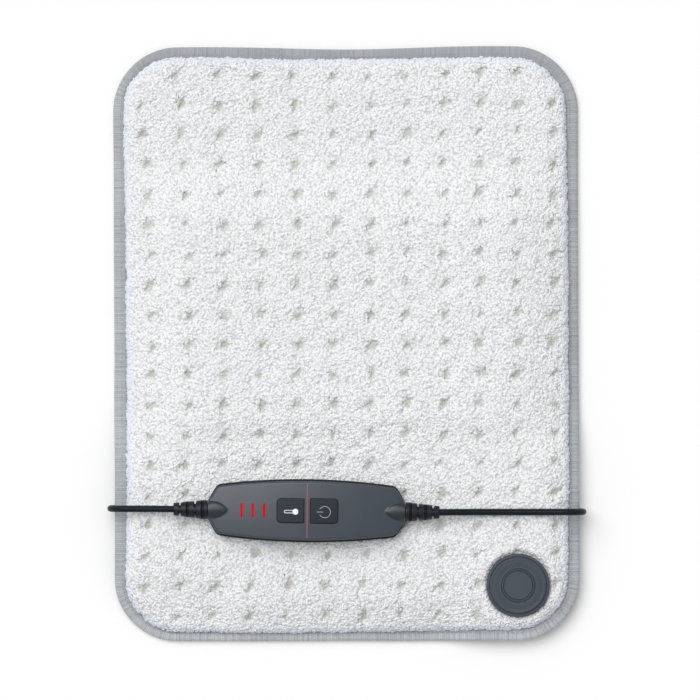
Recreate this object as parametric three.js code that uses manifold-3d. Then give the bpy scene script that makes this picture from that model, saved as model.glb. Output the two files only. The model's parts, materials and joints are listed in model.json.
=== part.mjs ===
import Module from 'manifold-3d';
import * as THREE from 'three';
import { mergeVertices } from 'three/addons/utils/BufferGeometryUtils.js';

// A quilted plush heating pad lying over its own leads, with a hand controller on top.
// Millimetres, +Z up. The origin is on the table under the middle of the pad.

const wasm = await Module();
wasm.setup();

// General clearances
const seam = 0.3;
const fit = 0.3;
const overrun = 2;

// Pad outline and layers
const padWidth = 313;
const padLength = 400;
const padCornerRadius = 42;
const bindingWidth = 6.5;
const tapeThickness = 0.8;
const backThickness = 1;
const flangeThickness = 1;
const fleeceThickness = 1.2;
const wireThickness = 1.8;
const plushThickness = 4.4;
const plushWall = 1.2;
const plushEdgeFall = 3.4;
const plushEdgeRun = 12;

// Quilting
const tuftPitchX = 25.4;
const tuftPitchY = 20.1;
const tuftColumns = 12;
const tuftRows = 19;
const tuftDepth = 2.2;
const tuftEdgeMargin = 12;
const drapePitches = 2;

// Heating wire
const wireRuns = 6;
const wireTopMargin = 30;
const wireBottomMargin = 66;
const wireReturnMargin = 44;

// Leads, their coil and the mains plug, all lying under the pad
const leadDiameter = 4.5;
const leadHeadroom = 6;
const leadSides = 8;
const stepsPerPoint = 2;
const coilX = -30;
const coilAhead = 142.3;
const coilInnerRadius = 15.6;
const coilOuterRadius = 40.2;
const coilLift = 1.4;
const coilLayers = 2;
const layerRise = 4.65;
const tieWidth = 6;
const tieThickness = 0.8;
const tieSlack = 0.6;
const plugX = 60;
const plugBootAhead = 6;
const plugWidth = 35.3;
const plugThickness = 13.7;
const plugLength = 36;
const plugNeckWidth = 14;
const plugShoulder = 14;
const plugBootRadius = 5;
const plugBootLength = 20;
const plugPinRoot = 6;
const plugPinDiameter = 4;
const plugPinLength = 19;
const plugPinSpacing = 18.6;
const bundleHeadroom = 0.6;
const bundleMargin = 5.5;
const bundleSideMargin = 27;
const bundleRun = 60;

// Ridge over the leads and the low plateau over the connector
const ridgeHalfWidth = 32;
const ridgeRun = 50;
const plateauLeft = -66;
const plateauRun = 38;
const capMarginX = 20;

// Connector through the pad
const capFromRight = 40.7;
const capFromBottom = 37.7;
const capRadius = 21.3;
const capHeight = 4;
const capRimDrop = 0.7;
const capDiscRadius = 18.8;
const capEdgeRadius = 1;
const capSeat = 1.6;
const grooveInner = 9.8;
const grooveOuter = 11.2;
const grooveDepth = 0.5;
const bossRadius = 12;
const baseRadius = 18;
const baseWall = 1.5;
const baseDrop = 1.1;
const socketWidth = 13;
const socketHeight = 5;
const socketDepth = 14;
const pinRadius = 0.7;
const pinLength = 8;
const pinPitch = 4;
const pinCount = 3;
const pinRoot = 2;
const couplingGrip = 9.7;
const couplingGripStep = 1;
const couplingBoot = 11.7;
const couplingBootRadius = 3.3;
const bootTipWall = 0.6;
const capScrewRadius = 9.5;
const capScrewAngles = [0, 90, -90];
const capScrewBite = 2;

// Screws
const screwHeadRadius = 2.5;
const screwHeadHeight = 1.8;
const screwShankRadius = 1.3;
const screwSink = 0.6;

// Controller housing
const controllerX = -26.5;
const controllerFromBottom = 87.7;
const controllerTurn = -0.36;
const housingLength = 132.3;
const housingWidth = 42.4;
const shoulderWidth = 34.3;
const shoulderFromEnd = 6;
const housingEndWidth = 13.3;
const housingHeight = 16.5;
const housingCrown = 6.5;
const housingSideCrown = 0.8;
const housingTopRadius = 4;
const housingBottomRadius = 3;
const housingWall = 2;
const partingHeight = 7;
const hoodLead = 6;
const hoodTaper = 12;
const shellScrewX = 50;
const shellScrewY = 11;
const bossThickness = 2;
const screwBite = 1.4;

// Buttons, lights and the line between the buttons
const heatButtonX = -10.7;
const heatButtonLength = 18.3;
const heatButtonWidth = 16.5;
const powerButtonX = 11.9;
const powerButtonLength = 18.7;
const powerButtonWidth = 16.7;
const buttonOuterRadius = 2.7;
const buttonInnerRadius = 0.6;
const buttonProud = 0.3;
const buttonFlange = 1;
const buttonFlangeHeight = 1;
const pressTravel = 0.6;
const levelXs = [-43.8, -36.3, -28.8];
const levelLength = 9.6;
const levelWidth = 1.9;
const levelRoundShare = 0.95;
const lineX = 0.5;
const lineWidth = 1.2;
const lineLength = 36.7;
const lineDepth = 0.6;

// Circuit board and what stands on it
const boardLength = 92;
const boardWidth = 30;
const boardThickness = 1.6;
const boardHeight = 4.5;
const postRadius = 2;
const postX = 40;
const postY = 11;
const switchSize = 6;
const switchHeight = 2.5;
const plungerRadius = 1.7;
const ledHeight = 1;
const ledLength = 3;
const ledWidth = 1.5;
const triacSize = [15, 10, 4.4];
const fuseLength = 20;
const fuseRadius = 2.2;
const capacitorSize = [13, 6, 4.5];
const chipSize = [8, 5, 1.5];
const powerPartsX = 33;
const fuseY = 10.5;
const capacitorY = -10;
const chipX = -21;
const chipY = 10;

// Boots where the leads enter the controller
const bootTip = 89.3;
const bootInnerEnd = 58;
const bootFlangeRadius = 5;
const bootNeckRadius = 3.6;
const bootCollarRadius = 6.65;
const bootTipRadius = 4.6;
const bootCollarLength = 2.6;
const bootFlangeLength = 2;
const bootRibs = 4;
const bootGroove = 1.5;
const bootGrooveDepth = 1.3;
const wireRadius = 0.7;
const wireSpread = 1.2;
const wireOverBoard = 0.8;

// Routes of the free leads, from the controller to the coil, plug and connector
const mainsRoute = [
  [-116.1, -111.74, 29.7], [-121, -111.71, 29.7], [-133, -111.6, 27.8], [-141, -111.4, 26.5],
  [-147.65, -111.2, 26.25], [-153.65, -111.1, 24.64], [-158.04, -111, 20.25],
  [-159.65, -110.9, 14.25], [-158.04, -110.8, 8.25], [-153.65, -110.8, 3.86],
  [-147.65, -110.8, 2.3], [-138, -110.7, 2.3], [-118, -107, 2.3], [-100, -94, 2.3],
  [-90, -74, 2.3], [-85, -50, 2.3], [-75, -27, 2.6], [-57, -14.5, 3.5], [-42, -12.75, 3.65],
  [-30, -12.75, 3.65],
];
const tailRoute = [
  [12.75, 30, 8.3], [12.75, 36, 8.3], [15, 50, 6.5], [24, 63.5, 5], [38, 68.5, 4.6],
  [51, 63.5, 5], [58.5, 52, 6.3], [60, 42, 6.85], [60, 36.3, 6.85],
];
const padRoute = [
  [63.1, -112.87, 29.7], [68, -112.9, 29.7], [85, -112.9, 26.8], [105, -112.9, 25.1],
  [128, -112.9, 25.1], [140, -112.9, 25.8], [147.65, -112.9, 26.25], [153.65, -112.9, 24.64],
  [158.04, -112.9, 20.25], [159.65, -112.9, 14.25], [158.04, -112.9, 8.25],
  [153.65, -112.9, 3.86], [147.65, -112.9, 2.3], [138, -112.9, 2.3], [90, -112.9, 2.3],
  [40, -112.9, 2.3], [-5, -112.9, 2.3], [-22, -117, 2.3], [-32, -129, 2.3], [-32, -146, 2.3],
  [-22, -158, 2.3], [-5, -162.3, 2.3], [30, -162.3, 2.3], [52, -162.3, 2.8],
  [70, -162.3, 4], [75.5, -162.3, 4],
];

// Heights of the layers above the underside of the pad
const backLow = tapeThickness + seam;
const backHigh = backLow + backThickness;
const flangeLow = backHigh + seam;
const flangeHigh = flangeLow + flangeThickness;
const bindingHeight = flangeHigh + seam + tapeThickness;
const lowerFleeceHigh = flangeLow + fleeceThickness;
const wireLow = lowerFleeceHigh + seam;
const wireHigh = wireLow + wireThickness;
const upperFleeceLow = wireHigh + seam;
const upperFleeceHigh = upperFleeceLow + fleeceThickness;
const plushLow = upperFleeceHigh + seam;
const plushTop = plushLow + plushThickness;
const flangeInset = tapeThickness + seam;
const plushInset = bindingWidth + seam;
const fleeceInset = plushInset + plushWall + seam;

// Places that follow from the sizes
const ridgeHeight = leadDiameter + leadHeadroom;
const bundleHeight = plugThickness + bundleHeadroom;
const capX = padWidth / 2 - capFromRight;
const capY = capFromBottom - padLength / 2;
const capLow = ridgeHeight + plushLow + capSeat + seam;
const controllerY = controllerFromBottom - padLength / 2;
const controllerZ = ridgeHeight + plushTop + seam;
const coilY = controllerY + coilAhead;
const plugBootEndY = coilY + plugBootAhead;
const halfHousing = housingLength / 2;
const boardTop = boardHeight + boardThickness;

// Materials
const paint = (color, roughness, metalness = 0) => (
  new THREE.MeshStandardMaterial({ color, roughness, metalness })
);
const plush = paint(0xf0f2f5, 0.95);
const fleece = paint(0xe4e2dc, 0.95);
const tape = paint(0xa9acae, 0.85);
const backing = paint(0xd8dade, 0.85);
const heatingCable = paint(0xd9c9a8, 0.5);
const shell = paint(0x59626b, 0.5);
const key = paint(0x363d47, 0.5);
const rubber = paint(0x242b34, 0.7);
const sheath = paint(0x1d232b, 0.55);
const redLens = paint(0xe3000f, 0.35);
const pinkLine = paint(0x8c5565, 0.5);
const capGrey = paint(0x4c545c, 0.55);
const board = paint(0x2f6b45, 0.6);
const blackPlastic = paint(0x1b1b1d, 0.5);
const nylon = paint(0xd9d4c8, 0.5);
const steel = paint(0xb8bcc0, 0.35, 0.9);
const nickel = paint(0xc9c5ba, 0.25, 1);
const copperWire = paint(0xa63a2c, 0.5);
const glass = paint(0xcfd8d6, 0.15);

// A closed solid of a closed geometry, with its faces turned outward
function solidOf(geometry) {
  const bare = geometry.clone();
  bare.deleteAttribute('normal');
  bare.deleteAttribute('uv');
  const merged = mergeVertices(bare);
  const corners = merged.index.array;
  const kept = [];
  for (let i = 0; i < corners.length; i += 3) {
    const [a, b, c] = [corners[i], corners[i + 1], corners[i + 2]];
    if (a !== b && b !== c && c !== a) kept.push([a, b, c]);
  }
  const build = (faces) => new wasm.Manifold(new wasm.Mesh({
    numProp: 3,
    vertProperties: new Float32Array(merged.attributes.position.array),
    triVerts: new Uint32Array(faces.flat()),
  }));
  const first = build(kept);
  return first.volume() > 0 ? first : build(kept.map(([a, b, c]) => [a, c, b]));
}

function geometryOf(solid) {
  const mesh = solid.getMesh();
  const geometry = new THREE.BufferGeometry();
  geometry.setAttribute('position', new THREE.BufferAttribute(mesh.vertProperties, mesh.numProp));
  geometry.setIndex(new THREE.BufferAttribute(mesh.triVerts, 1));
  geometry.computeVertexNormals();
  return geometry;
}

function add(parent, name, solid, material) {
  const mesh = new THREE.Mesh(geometryOf(solid), material);
  mesh.name = name;
  parent.add(mesh);
}

// Plain solids
function block(left, right, front, back, low, high) {
  const geometry = new THREE.BoxGeometry(right - left, back - front, high - low);
  geometry.translate((left + right) / 2, (front + back) / 2, (low + high) / 2);
  return solidOf(geometry);
}

function prism(shape, low, high, curveSegments = 3) {
  const geometry = new THREE.ExtrudeGeometry(
    shape,
    { depth: high - low, bevelEnabled: false, steps: 1, curveSegments },
  );
  geometry.translate(0, 0, low);
  return solidOf(geometry);
}

function roundedShape(halfX, halfY, radii, x = 0, y = 0) {
  const [right, left] = Array.isArray(radii) ? radii : [radii, radii];
  const shape = new THREE.Shape();
  shape.absarc(x + halfX - right, y + halfY - right, right, 0, Math.PI / 2);
  shape.absarc(x - halfX + left, y + halfY - left, left, Math.PI / 2, Math.PI);
  shape.absarc(x - halfX + left, y - halfY + left, left, Math.PI, Math.PI * 1.5);
  shape.absarc(x + halfX - right, y - halfY + right, right, Math.PI * 1.5, Math.PI * 2);
  return shape;
}

function post(radius, x, y, low, high, segments = 16) {
  const geometry = new THREE.CylinderGeometry(radius, radius, high - low, segments);
  geometry.rotateX(Math.PI / 2);
  geometry.translate(x, y, (low + high) / 2);
  return solidOf(geometry);
}

function rod(radius, y, z, left, right, segments = 12) {
  const geometry = new THREE.CylinderGeometry(radius, radius, right - left, segments);
  geometry.rotateZ(Math.PI / 2);
  geometry.translate((left + right) / 2, y, z);
  return solidOf(geometry);
}

// A turned geometry about the Y axis, from a profile of [radius, distance along the axis]
function turned(profile, segments) {
  const points = profile.map(([radius, along]) => new THREE.Vector2(radius, along));
  return new THREE.LatheGeometry(points, segments);
}

// A solid through cross-sections of equally many points
function loft(sections) {
  const size = sections[0].length;
  const faces = [];
  for (let s = 0; s < sections.length - 1; s += 1) {
    for (let i = 0; i < size; i += 1) {
      const a = s * size + i;
      const b = s * size + (i + 1) % size;
      faces.push(a, b, b + size, a, b + size, a + size);
    }
  }
  const last = (sections.length - 1) * size;
  for (let i = 1; i < size - 1; i += 1) {
    faces.push(0, i + 1, i, last, last + i, last + i + 1);
  }
  const geometry = new THREE.BufferGeometry();
  geometry.setAttribute('position', new THREE.Float32BufferAttribute(sections.flat(2), 3));
  geometry.setIndex(faces);
  return solidOf(geometry);
}

// A free lead: its section follows the route, with even steps between the route's points
class Route extends THREE.CatmullRomCurve3 {
  getPointAt(share, target) {
    return this.getPoint(share, target);
  }

  getTangentAt(share, target) {
    return this.getTangent(share, target);
  }
}

function routeOf(points) {
  return new Route(points.map((point) => new THREE.Vector3(...point)), false, 'centripetal');
}

function lead(points) {
  const section = new THREE.Shape();
  for (let side = 0; side < leadSides; side += 1) {
    const angle = (side + 1 / 2) * 2 * Math.PI / leadSides;
    const x = leadDiameter / 2 * Math.cos(angle);
    const y = leadDiameter / 2 * Math.sin(angle);
    if (side === 0) section.moveTo(x, y);
    else section.lineTo(x, y);
  }
  section.closePath();
  const steps = (points.length - 1) * stepsPerPoint;
  const extrudePath = routeOf(points);
  return solidOf(new THREE.ExtrudeGeometry(section, { steps, extrudePath, bevelEnabled: false }));
}

// The underside of the pad, which drapes over what lies beneath it
function spot(left, right, front, back, run, height) {
  const halfX = (right - left) / 2;
  const halfY = (back - front) / 2;
  return { x: (left + right) / 2, y: (front + back) / 2, halfX, halfY, run, height };
}

const ridgeFront = controllerY - ridgeHalfWidth;
const ridgeBack = controllerY + ridgeHalfWidth;
const spots = [
  spot(
    coilX - coilOuterRadius - bundleSideMargin,
    plugX + plugWidth / 2 + bundleSideMargin,
    plugBootEndY - plugBootLength - plugLength - plugPinLength - bundleMargin,
    coilY + coilOuterRadius + bundleMargin,
    bundleRun,
    bundleHeight,
  ),
  spot(-padWidth, padWidth, ridgeFront, ridgeBack, ridgeRun, ridgeHeight),
  spot(plateauLeft, padWidth, capY, ridgeBack, plateauRun, ridgeHeight),
  spot(capX - capMarginX, padWidth, -padLength, capY, plateauRun, ridgeHeight),
];

function plateau(x, y, place) {
  const outX = Math.max(Math.abs(x - place.x) - place.halfX, 0);
  const outY = Math.max(Math.abs(y - place.y) - place.halfY, 0);
  const share = Math.min(Math.hypot(outX, outY) / place.run, 1);
  return place.height * (1 - share * share * (3 - 2 * share));
}

function drapeCorner(x, y) {
  return Math.max(...spots.map((place) => plateau(x, y, place)));
}

// The drape lies in flat triangles between the corners of cells of a few quilting pitches
const drapeCellX = tuftPitchX * drapePitches;
const drapeCellY = tuftPitchY * drapePitches;

function drape(x, y) {
  const left = Math.floor(x / drapeCellX) * drapeCellX;
  const front = Math.floor(y / drapeCellY) * drapeCellY;
  const u = (x - left) / drapeCellX;
  const v = (y - front) / drapeCellY;
  const near = drapeCorner(left, front);
  const far = drapeCorner(left + drapeCellX, front + drapeCellY);
  const side = v >= u
    ? drapeCorner(left, front + drapeCellY)
    : drapeCorner(left + drapeCellX, front);
  return v >= u
    ? near + u * (far - side) + v * (side - near)
    : near + u * (side - near) + v * (far - side);
}

// Everything below a surface whose height is given at the corners of a grid of cells.
// A cell with a height for its middle is folded round it, as a tuft draws it down.
function under(cellX, cellY, columns, rows, height, middleHeight) {
  const points = [];
  const faces = [];
  const place = (column, row) => [(column - columns / 2) * cellX, (row - rows / 2) * cellY];
  const corner = (column, row) => 2 * (column * (rows + 1) + row);
  for (let column = 0; column <= columns; column += 1) {
    for (let row = 0; row <= rows; row += 1) {
      const [x, y] = place(column, row);
      points.push([x, y, -bundleHeight], [x, y, height(x, y)]);
    }
  }
  for (let column = 0; column < columns; column += 1) {
    for (let row = 0; row < rows; row += 1) {
      const a = corner(column, row);
      const b = corner(column + 1, row);
      const c = corner(column + 1, row + 1);
      const d = corner(column, row + 1);
      faces.push([a, c, b], [a, d, c]);
      if (column === 0) faces.push([a, a + 1, d + 1], [a, d + 1, d]);
      if (column === columns - 1) faces.push([b, c, c + 1], [b, c + 1, b + 1]);
      if (row === 0) faces.push([a, b, b + 1], [a, b + 1, a + 1]);
      if (row === rows - 1) faces.push([d, d + 1, c + 1], [d, c + 1, c]);
      if (middleHeight) {
        const [x, y] = place(column + 1 / 2, row + 1 / 2);
        const middle = points.push([x, y, middleHeight(x, y)]) - 1;
        [[a, b], [b, c], [c, d], [d, a]].forEach(([from, to]) => (
          faces.push([from + 1, to + 1, middle])
        ));
      } else {
        faces.push([a + 1, b + 1, c + 1], [a + 1, c + 1, d + 1]);
      }
    }
  }
  const geometry = new THREE.BufferGeometry();
  geometry.setAttribute('position', new THREE.Float32BufferAttribute(points.flat(), 3));
  geometry.setIndex(faces.flat());
  return solidOf(geometry);
}

function underDrape(rise) {
  const columns = 2 * Math.ceil(padWidth / 2 / drapeCellX);
  const rows = 2 * Math.ceil(padLength / 2 / drapeCellY);
  return under(drapeCellX, drapeCellY, columns, rows, (x, y) => drape(x, y) + rise);
}

function sheet(low, high) {
  return underDrape(high).subtract(underDrape(low));
}

// Upright prisms within the pad's outline
const tallLow = -overrun;
const tallHigh = bundleHeight + plushTop + overrun;

function outline(inset) {
  const halfX = padWidth / 2 - inset;
  const halfY = padLength / 2 - inset;
  return prism(roundedShape(halfX, halfY, padCornerRadius - inset), tallLow, tallHigh);
}

function ring(outerInset, innerInset) {
  return outline(outerInset).subtract(outline(innerInset));
}

function connectorHole(radius) {
  return post(radius, capX, capY, tallLow, tallHigh);
}

// Distance of a point from the pad's edge, positive inside
function edgeDistance(x, y) {
  const cornerX = Math.abs(x) - padWidth / 2 + padCornerRadius;
  const cornerY = Math.abs(y) - padLength / 2 + padCornerRadius;
  const outside = Math.hypot(Math.max(cornerX, 0), Math.max(cornerY, 0));
  return padCornerRadius - outside - Math.min(Math.max(cornerX, cornerY), 0);
}

function pileHeight(x, y) {
  const share = Math.max(1 - Math.max(edgeDistance(x, y) - plushInset, 0) / plushEdgeRun, 0);
  return drape(x, y) + plushTop - plushEdgeFall * share * share;
}

function tuftedHeight(x, y) {
  const column = x / tuftPitchX + (tuftColumns - 1) / 2;
  const row = y / tuftPitchY + (tuftRows - 1) / 2;
  const inField = Math.min(column, tuftColumns - 1 - column, row, tuftRows - 1 - row) > -1 / 2;
  const isSewn = inField && edgeDistance(x, y) > tuftEdgeMargin;
  return pileHeight(x, y) - (isSewn ? tuftDepth : 0);
}

function underPile() {
  const sideCells = Math.ceil((padWidth / tuftPitchX - tuftColumns) / 2);
  const endCells = Math.ceil((padLength / tuftPitchY - tuftRows) / 2);
  const columns = tuftColumns + 2 * sideCells;
  const rows = tuftRows + 2 * endCells;
  return under(tuftPitchX, tuftPitchY, columns, rows, pileHeight, tuftedHeight);
}

function topCover() {
  const pile = underPile().subtract(underDrape(plushLow)).intersect(outline(plushInset));
  const wall = sheet(flangeLow, plushLow + overrun / 2)
    .intersect(ring(plushInset, plushInset + plushWall));
  const flange = sheet(flangeLow, flangeHigh).intersect(ring(flangeInset, plushInset + plushWall));
  const recess = post(capRadius + fit, capX, capY, capLow - seam, tallHigh, 24);
  return pile.add(wall).add(flange).subtract(recess).subtract(connectorHole(bossRadius + fit));
}

function edgeBinding() {
  const band = sheet(0, bindingHeight).intersect(outline(0)).subtract(outline(bindingWidth));
  const fold = sheet(tapeThickness, bindingHeight - tapeThickness)
    .intersect(outline(tapeThickness));
  return band.subtract(fold);
}

function layer(low, high, inset) {
  return sheet(low, high).intersect(outline(inset)).subtract(connectorHole(bossRadius + fit));
}

// The heating wire: straight runs joined by half rings, with both ends at the connector
function wireRing(x, y, outer, start) {
  const shape = new THREE.Shape();
  shape.absarc(x, y, outer, start, start + Math.PI);
  shape.absarc(x, y, outer - wireThickness, start + Math.PI, start, true);
  return prism(shape, tallLow, tallHigh, 6);
}

function heatingWire() {
  const pitch = 2 * capX / (wireRuns - 1);
  const half = wireThickness / 2;
  const turnRadius = pitch / 2;
  const top = padLength / 2 - wireTopMargin - turnRadius;
  const bottom = wireBottomMargin + turnRadius - padLength / 2;
  const returnY = wireReturnMargin - padLength / 2;
  const endY = capY + bossRadius + fit + seam;
  const returnEnd = capX - bossRadius - fit;
  let path = block(-capX - half, returnEnd, returnY - half, returnY + half, tallLow, tallHigh);
  for (let run = 0; run < wireRuns; run += 1) {
    const x = run * pitch - capX;
    const isLast = run === wireRuns - 1;
    const openEnd = isLast ? endY : bottom - seam;
    const low = run === 0 ? returnY : openEnd;
    path = path.add(block(x - half, x + half, low, top + seam, tallLow, tallHigh));
    const up = run % 2 === 0;
    if (!isLast) {
      path = path.add(wireRing(
        x + turnRadius, up ? top : bottom, turnRadius + half, up ? 0 : Math.PI,
      ));
    }
  }
  return sheet(wireLow, wireHigh).intersect(path);
}

function makePad(parent) {
  add(parent, 'pad_top_cover', topCover(), plush);
  add(parent, 'upper_fleece', layer(upperFleeceLow, upperFleeceHigh, fleeceInset), fleece);
  add(parent, 'heating_wire', heatingWire(), heatingCable);
  add(parent, 'lower_fleece', layer(flangeLow, lowerFleeceHigh, fleeceInset), fleece);
  add(parent, 'pad_back_cover', layer(backLow, backHigh, flangeInset), backing);
  add(parent, 'edge_binding', edgeBinding(), tape);
}

// The connector: a base under the pad, screwed through it to a round cap on the plush
const baseTop = ridgeHeight + backLow - baseDrop;
const socketHalfHeight = socketHeight / 2;
const socketMiddle = baseWall + socketHalfHeight;
const socketEnd = capX - baseRadius + socketDepth;
const pinYs = Array.from({ length: pinCount }, (_, pin) => (
  capY + (pin - (pinCount - 1) / 2) * pinPitch
));
const capScrewPlaces = capScrewAngles.map((angle) => {
  const turn = THREE.MathUtils.degToRad(angle);
  return [capX + capScrewRadius * Math.cos(turn), capY + capScrewRadius * Math.sin(turn)];
});

function screw(x, y, tip) {
  const headTop = screwSink + screwHeadHeight;
  const head = post(screwHeadRadius, x, y, screwSink, headTop);
  return head.add(post(screwShankRadius, x, y, screwSink, tip, 12));
}

function screwHole(x, y, tip) {
  const headTop = screwSink + screwHeadHeight + fit;
  const head = post(screwHeadRadius + fit, x, y, -overrun, headTop);
  return head.add(post(screwShankRadius + fit, x, y, -overrun, tip + fit, 12));
}

function connectorBase() {
  let base = post(baseRadius, capX, capY, 0, baseTop, 32);
  base = base.add(post(bossRadius, capX, capY, 0, capLow - seam));
  base = base.subtract(block(
    capX - baseRadius - overrun, socketEnd, capY - socketWidth / 2, capY + socketWidth / 2,
    baseWall, baseWall + socketHeight,
  ));
  capScrewPlaces.forEach(([x, y]) => {
    base = base.subtract(screwHole(x, y, capLow));
  });
  pinYs.forEach((y) => {
    const rootEnd = socketEnd + pinRoot;
    base = base.subtract(rod(pinRadius + fit, y, socketMiddle, socketEnd - pinRoot, rootEnd));
  });
  return base;
}

function connectorCap() {
  const rim = capHeight - capRimDrop;
  const geometry = turned([
    [0, 0], [capRadius, 0], [capRadius, rim - capEdgeRadius], [capRadius - capEdgeRadius, rim],
    [capDiscRadius, rim], [capDiscRadius, capHeight], [grooveOuter, capHeight],
    [grooveOuter, capHeight - grooveDepth], [grooveInner, capHeight - grooveDepth],
    [grooveInner, capHeight], [0, capHeight],
  ], 32);
  geometry.rotateX(Math.PI / 2);
  geometry.translate(capX, capY, capLow);
  let cap = solidOf(geometry);
  capScrewPlaces.forEach(([x, y]) => {
    cap = cap.subtract(screwHole(x, y, capLow + capScrewBite));
  });
  return cap;
}

function couplingPlug() {
  const gripEnd = capX - baseRadius - fit;
  const half = socketWidth / 2 - fit;
  const halfHeight = socketHalfHeight - fit;
  const step = couplingGripStep;
  let plug = block(
    gripEnd - couplingGrip, socketEnd - fit, capY - half, capY + half,
    socketMiddle - halfHeight, socketMiddle + halfHeight,
  );
  plug = plug.add(block(
    gripEnd - couplingGrip, gripEnd, capY - half - step, capY + half + step,
    socketMiddle - halfHeight - step, socketMiddle + halfHeight + step,
  ));
  pinYs.forEach((y) => {
    const bore = rod(pinRadius + fit, y, socketMiddle, socketEnd - pinLength - fit, socketEnd);
    plug = plug.subtract(bore);
  });
  return plug;
}

function couplingBootSolid() {
  const start = capX - baseRadius - 2 * fit - couplingGrip;
  const geometry = turned([
    [0, 0], [couplingBootRadius, 0], [leadDiameter / 2 + bootTipWall, couplingBoot],
    [0, couplingBoot],
  ], 16);
  geometry.rotateZ(Math.PI / 2);
  geometry.translate(start, capY, socketMiddle);
  return solidOf(geometry);
}

function makeConnector(parent) {
  add(parent, 'connector_cap', connectorCap(), capGrey);
  add(parent, 'connector_base', connectorBase(), blackPlastic);
  capScrewPlaces.forEach(([x, y], index) => {
    add(parent, `cap_screw_${index + 1}`, screw(x, y, capLow + capScrewBite), steel);
  });
  pinYs.forEach((y, index) => {
    const pin = rod(pinRadius, y, socketMiddle, socketEnd - pinLength, socketEnd + pinRoot - fit);
    add(parent, `contact_pin_${index + 1}`, pin, nickel);
  });
  add(parent, 'coupling_plug', couplingPlug(), rubber);
  add(parent, 'coupling_boot', couplingBootSolid(), rubber);
}

// The leads, the coil under the pad and the mains plug
const coilHeight = leadDiameter + (coilLayers - 1) * layerRise;

function coil() {
  const geometry = turned([
    [coilInnerRadius, 0], [coilOuterRadius, 0], [coilOuterRadius, coilHeight],
    [coilInnerRadius, coilHeight], [coilInnerRadius, 0],
  ], 40);
  geometry.rotateX(Math.PI / 2);
  geometry.translate(coilX, coilY, coilLift);
  return solidOf(geometry);
}

function tieBlock(slack, halfWidth) {
  return block(
    coilX - coilOuterRadius - slack, coilX - coilInnerRadius + slack, coilY - halfWidth,
    coilY + halfWidth, coilLift - slack, coilLift + coilHeight + slack,
  );
}

function coilTie() {
  const band = tieBlock(tieSlack + tieThickness, tieWidth / 2);
  return band.subtract(tieBlock(tieSlack, tieWidth));
}

const plugBack = plugBootEndY - plugBootLength;
const plugFront = plugBack - plugLength;
const plugMiddle = plugThickness / 2;

function plugPin(side, radius, root) {
  const geometry = new THREE.CylinderGeometry(radius, radius, plugPinLength + root, 16);
  const x = plugX + side * plugPinSpacing / 2;
  geometry.translate(x, plugFront + (root - plugPinLength) / 2, plugMiddle);
  return solidOf(geometry);
}

function plugBody() {
  const shape = new THREE.Shape();
  shape.moveTo(plugX - plugWidth / 2, plugFront);
  shape.lineTo(plugX + plugWidth / 2, plugFront);
  shape.lineTo(plugX + plugWidth / 2, plugBack - plugShoulder);
  shape.lineTo(plugX + plugNeckWidth / 2, plugBack - fit);
  shape.lineTo(plugX - plugNeckWidth / 2, plugBack - fit);
  shape.lineTo(plugX - plugWidth / 2, plugBack - plugShoulder);
  let body = prism(shape, 0, plugThickness);
  [-1, 1].forEach((side) => {
    body = body.subtract(plugPin(side, plugPinDiameter / 2 + fit, plugPinRoot + fit));
  });
  return body;
}

function plugBoot() {
  const geometry = turned([
    [0, 0], [plugBootRadius, 0], [leadDiameter / 2 + bootTipWall, plugBootLength],
    [0, plugBootLength],
  ], 16);
  geometry.translate(plugX, plugBack, plugMiddle);
  return solidOf(geometry);
}

function makeLeads(parent) {
  add(parent, 'mains_lead', lead(mainsRoute), sheath);
  add(parent, 'mains_lead_coil', coil(), sheath);
  add(parent, 'coil_tie', coilTie(), blackPlastic);
  add(parent, 'mains_lead_tail', lead(tailRoute), sheath);
  add(parent, 'plug_boot', plugBoot(), rubber);
  add(parent, 'plug_body', plugBody(), blackPlastic);
  [-1, 1].forEach((side, index) => {
    add(parent, `plug_pin_${index + 1}`, plugPin(side, plugPinDiameter / 2, plugPinRoot), nickel);
  });
  add(parent, 'pad_lead', lead(padRoute), sheath);
}

// The controller housing, in its own frame: X along it and zero height at its underside
const shoulderX = halfHousing - shoulderFromEnd;

function housingHalfWidth(x) {
  const along = Math.abs(x);
  const bow = (housingWidth - shoulderWidth) / 2 * (along / shoulderX) ** 2;
  if (along <= shoulderX) return housingWidth / 2 - bow;
  const share = (along - shoulderX) / shoulderFromEnd;
  return THREE.MathUtils.lerp(shoulderWidth, housingEndWidth, share) / 2;
}

function housingTop(x) {
  return housingHeight - housingCrown * (x / halfHousing) ** 2;
}

function housingSection(x, inset, lift) {
  const half = housingHalfWidth(x) - inset;
  const high = housingTop(x) - inset + lift;
  const side = high - housingSideCrown;
  const round = (radius, y, z, from) => [0, 1, 2, 3].map((step) => {
    const angle = from + step * Math.PI / 6;
    return [x, y + radius * Math.cos(angle), z + radius * Math.sin(angle)];
  });
  const topRadius = housingTopRadius - inset;
  const bottomRadius = housingBottomRadius - inset;
  const right = [
    ...round(bottomRadius, half - bottomRadius, inset + bottomRadius, -Math.PI / 2),
    ...round(topRadius, half - topRadius, side - topRadius, 0),
  ];
  const left = right.map((point) => [x, -point[1], point[2]]).reverse();
  return [...right, [x, 0, high], ...left];
}

function housing(inset = 0, lift = 0) {
  const end = halfHousing - inset;
  const spans = 10;
  const middle = Array.from({ length: spans + 1 }, (_, span) => (
    THREE.MathUtils.lerp(-shoulderX, shoulderX, span / spans)
  ));
  return loft([-end, ...middle, end].map((x) => housingSection(x, inset, lift)));
}

function alongHousing(profile, end, segments) {
  const geometry = turned(profile, segments);
  geometry.rotateZ(-end * Math.PI / 2);
  geometry.translate(0, 0, partingHeight);
  return solidOf(geometry);
}

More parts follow.
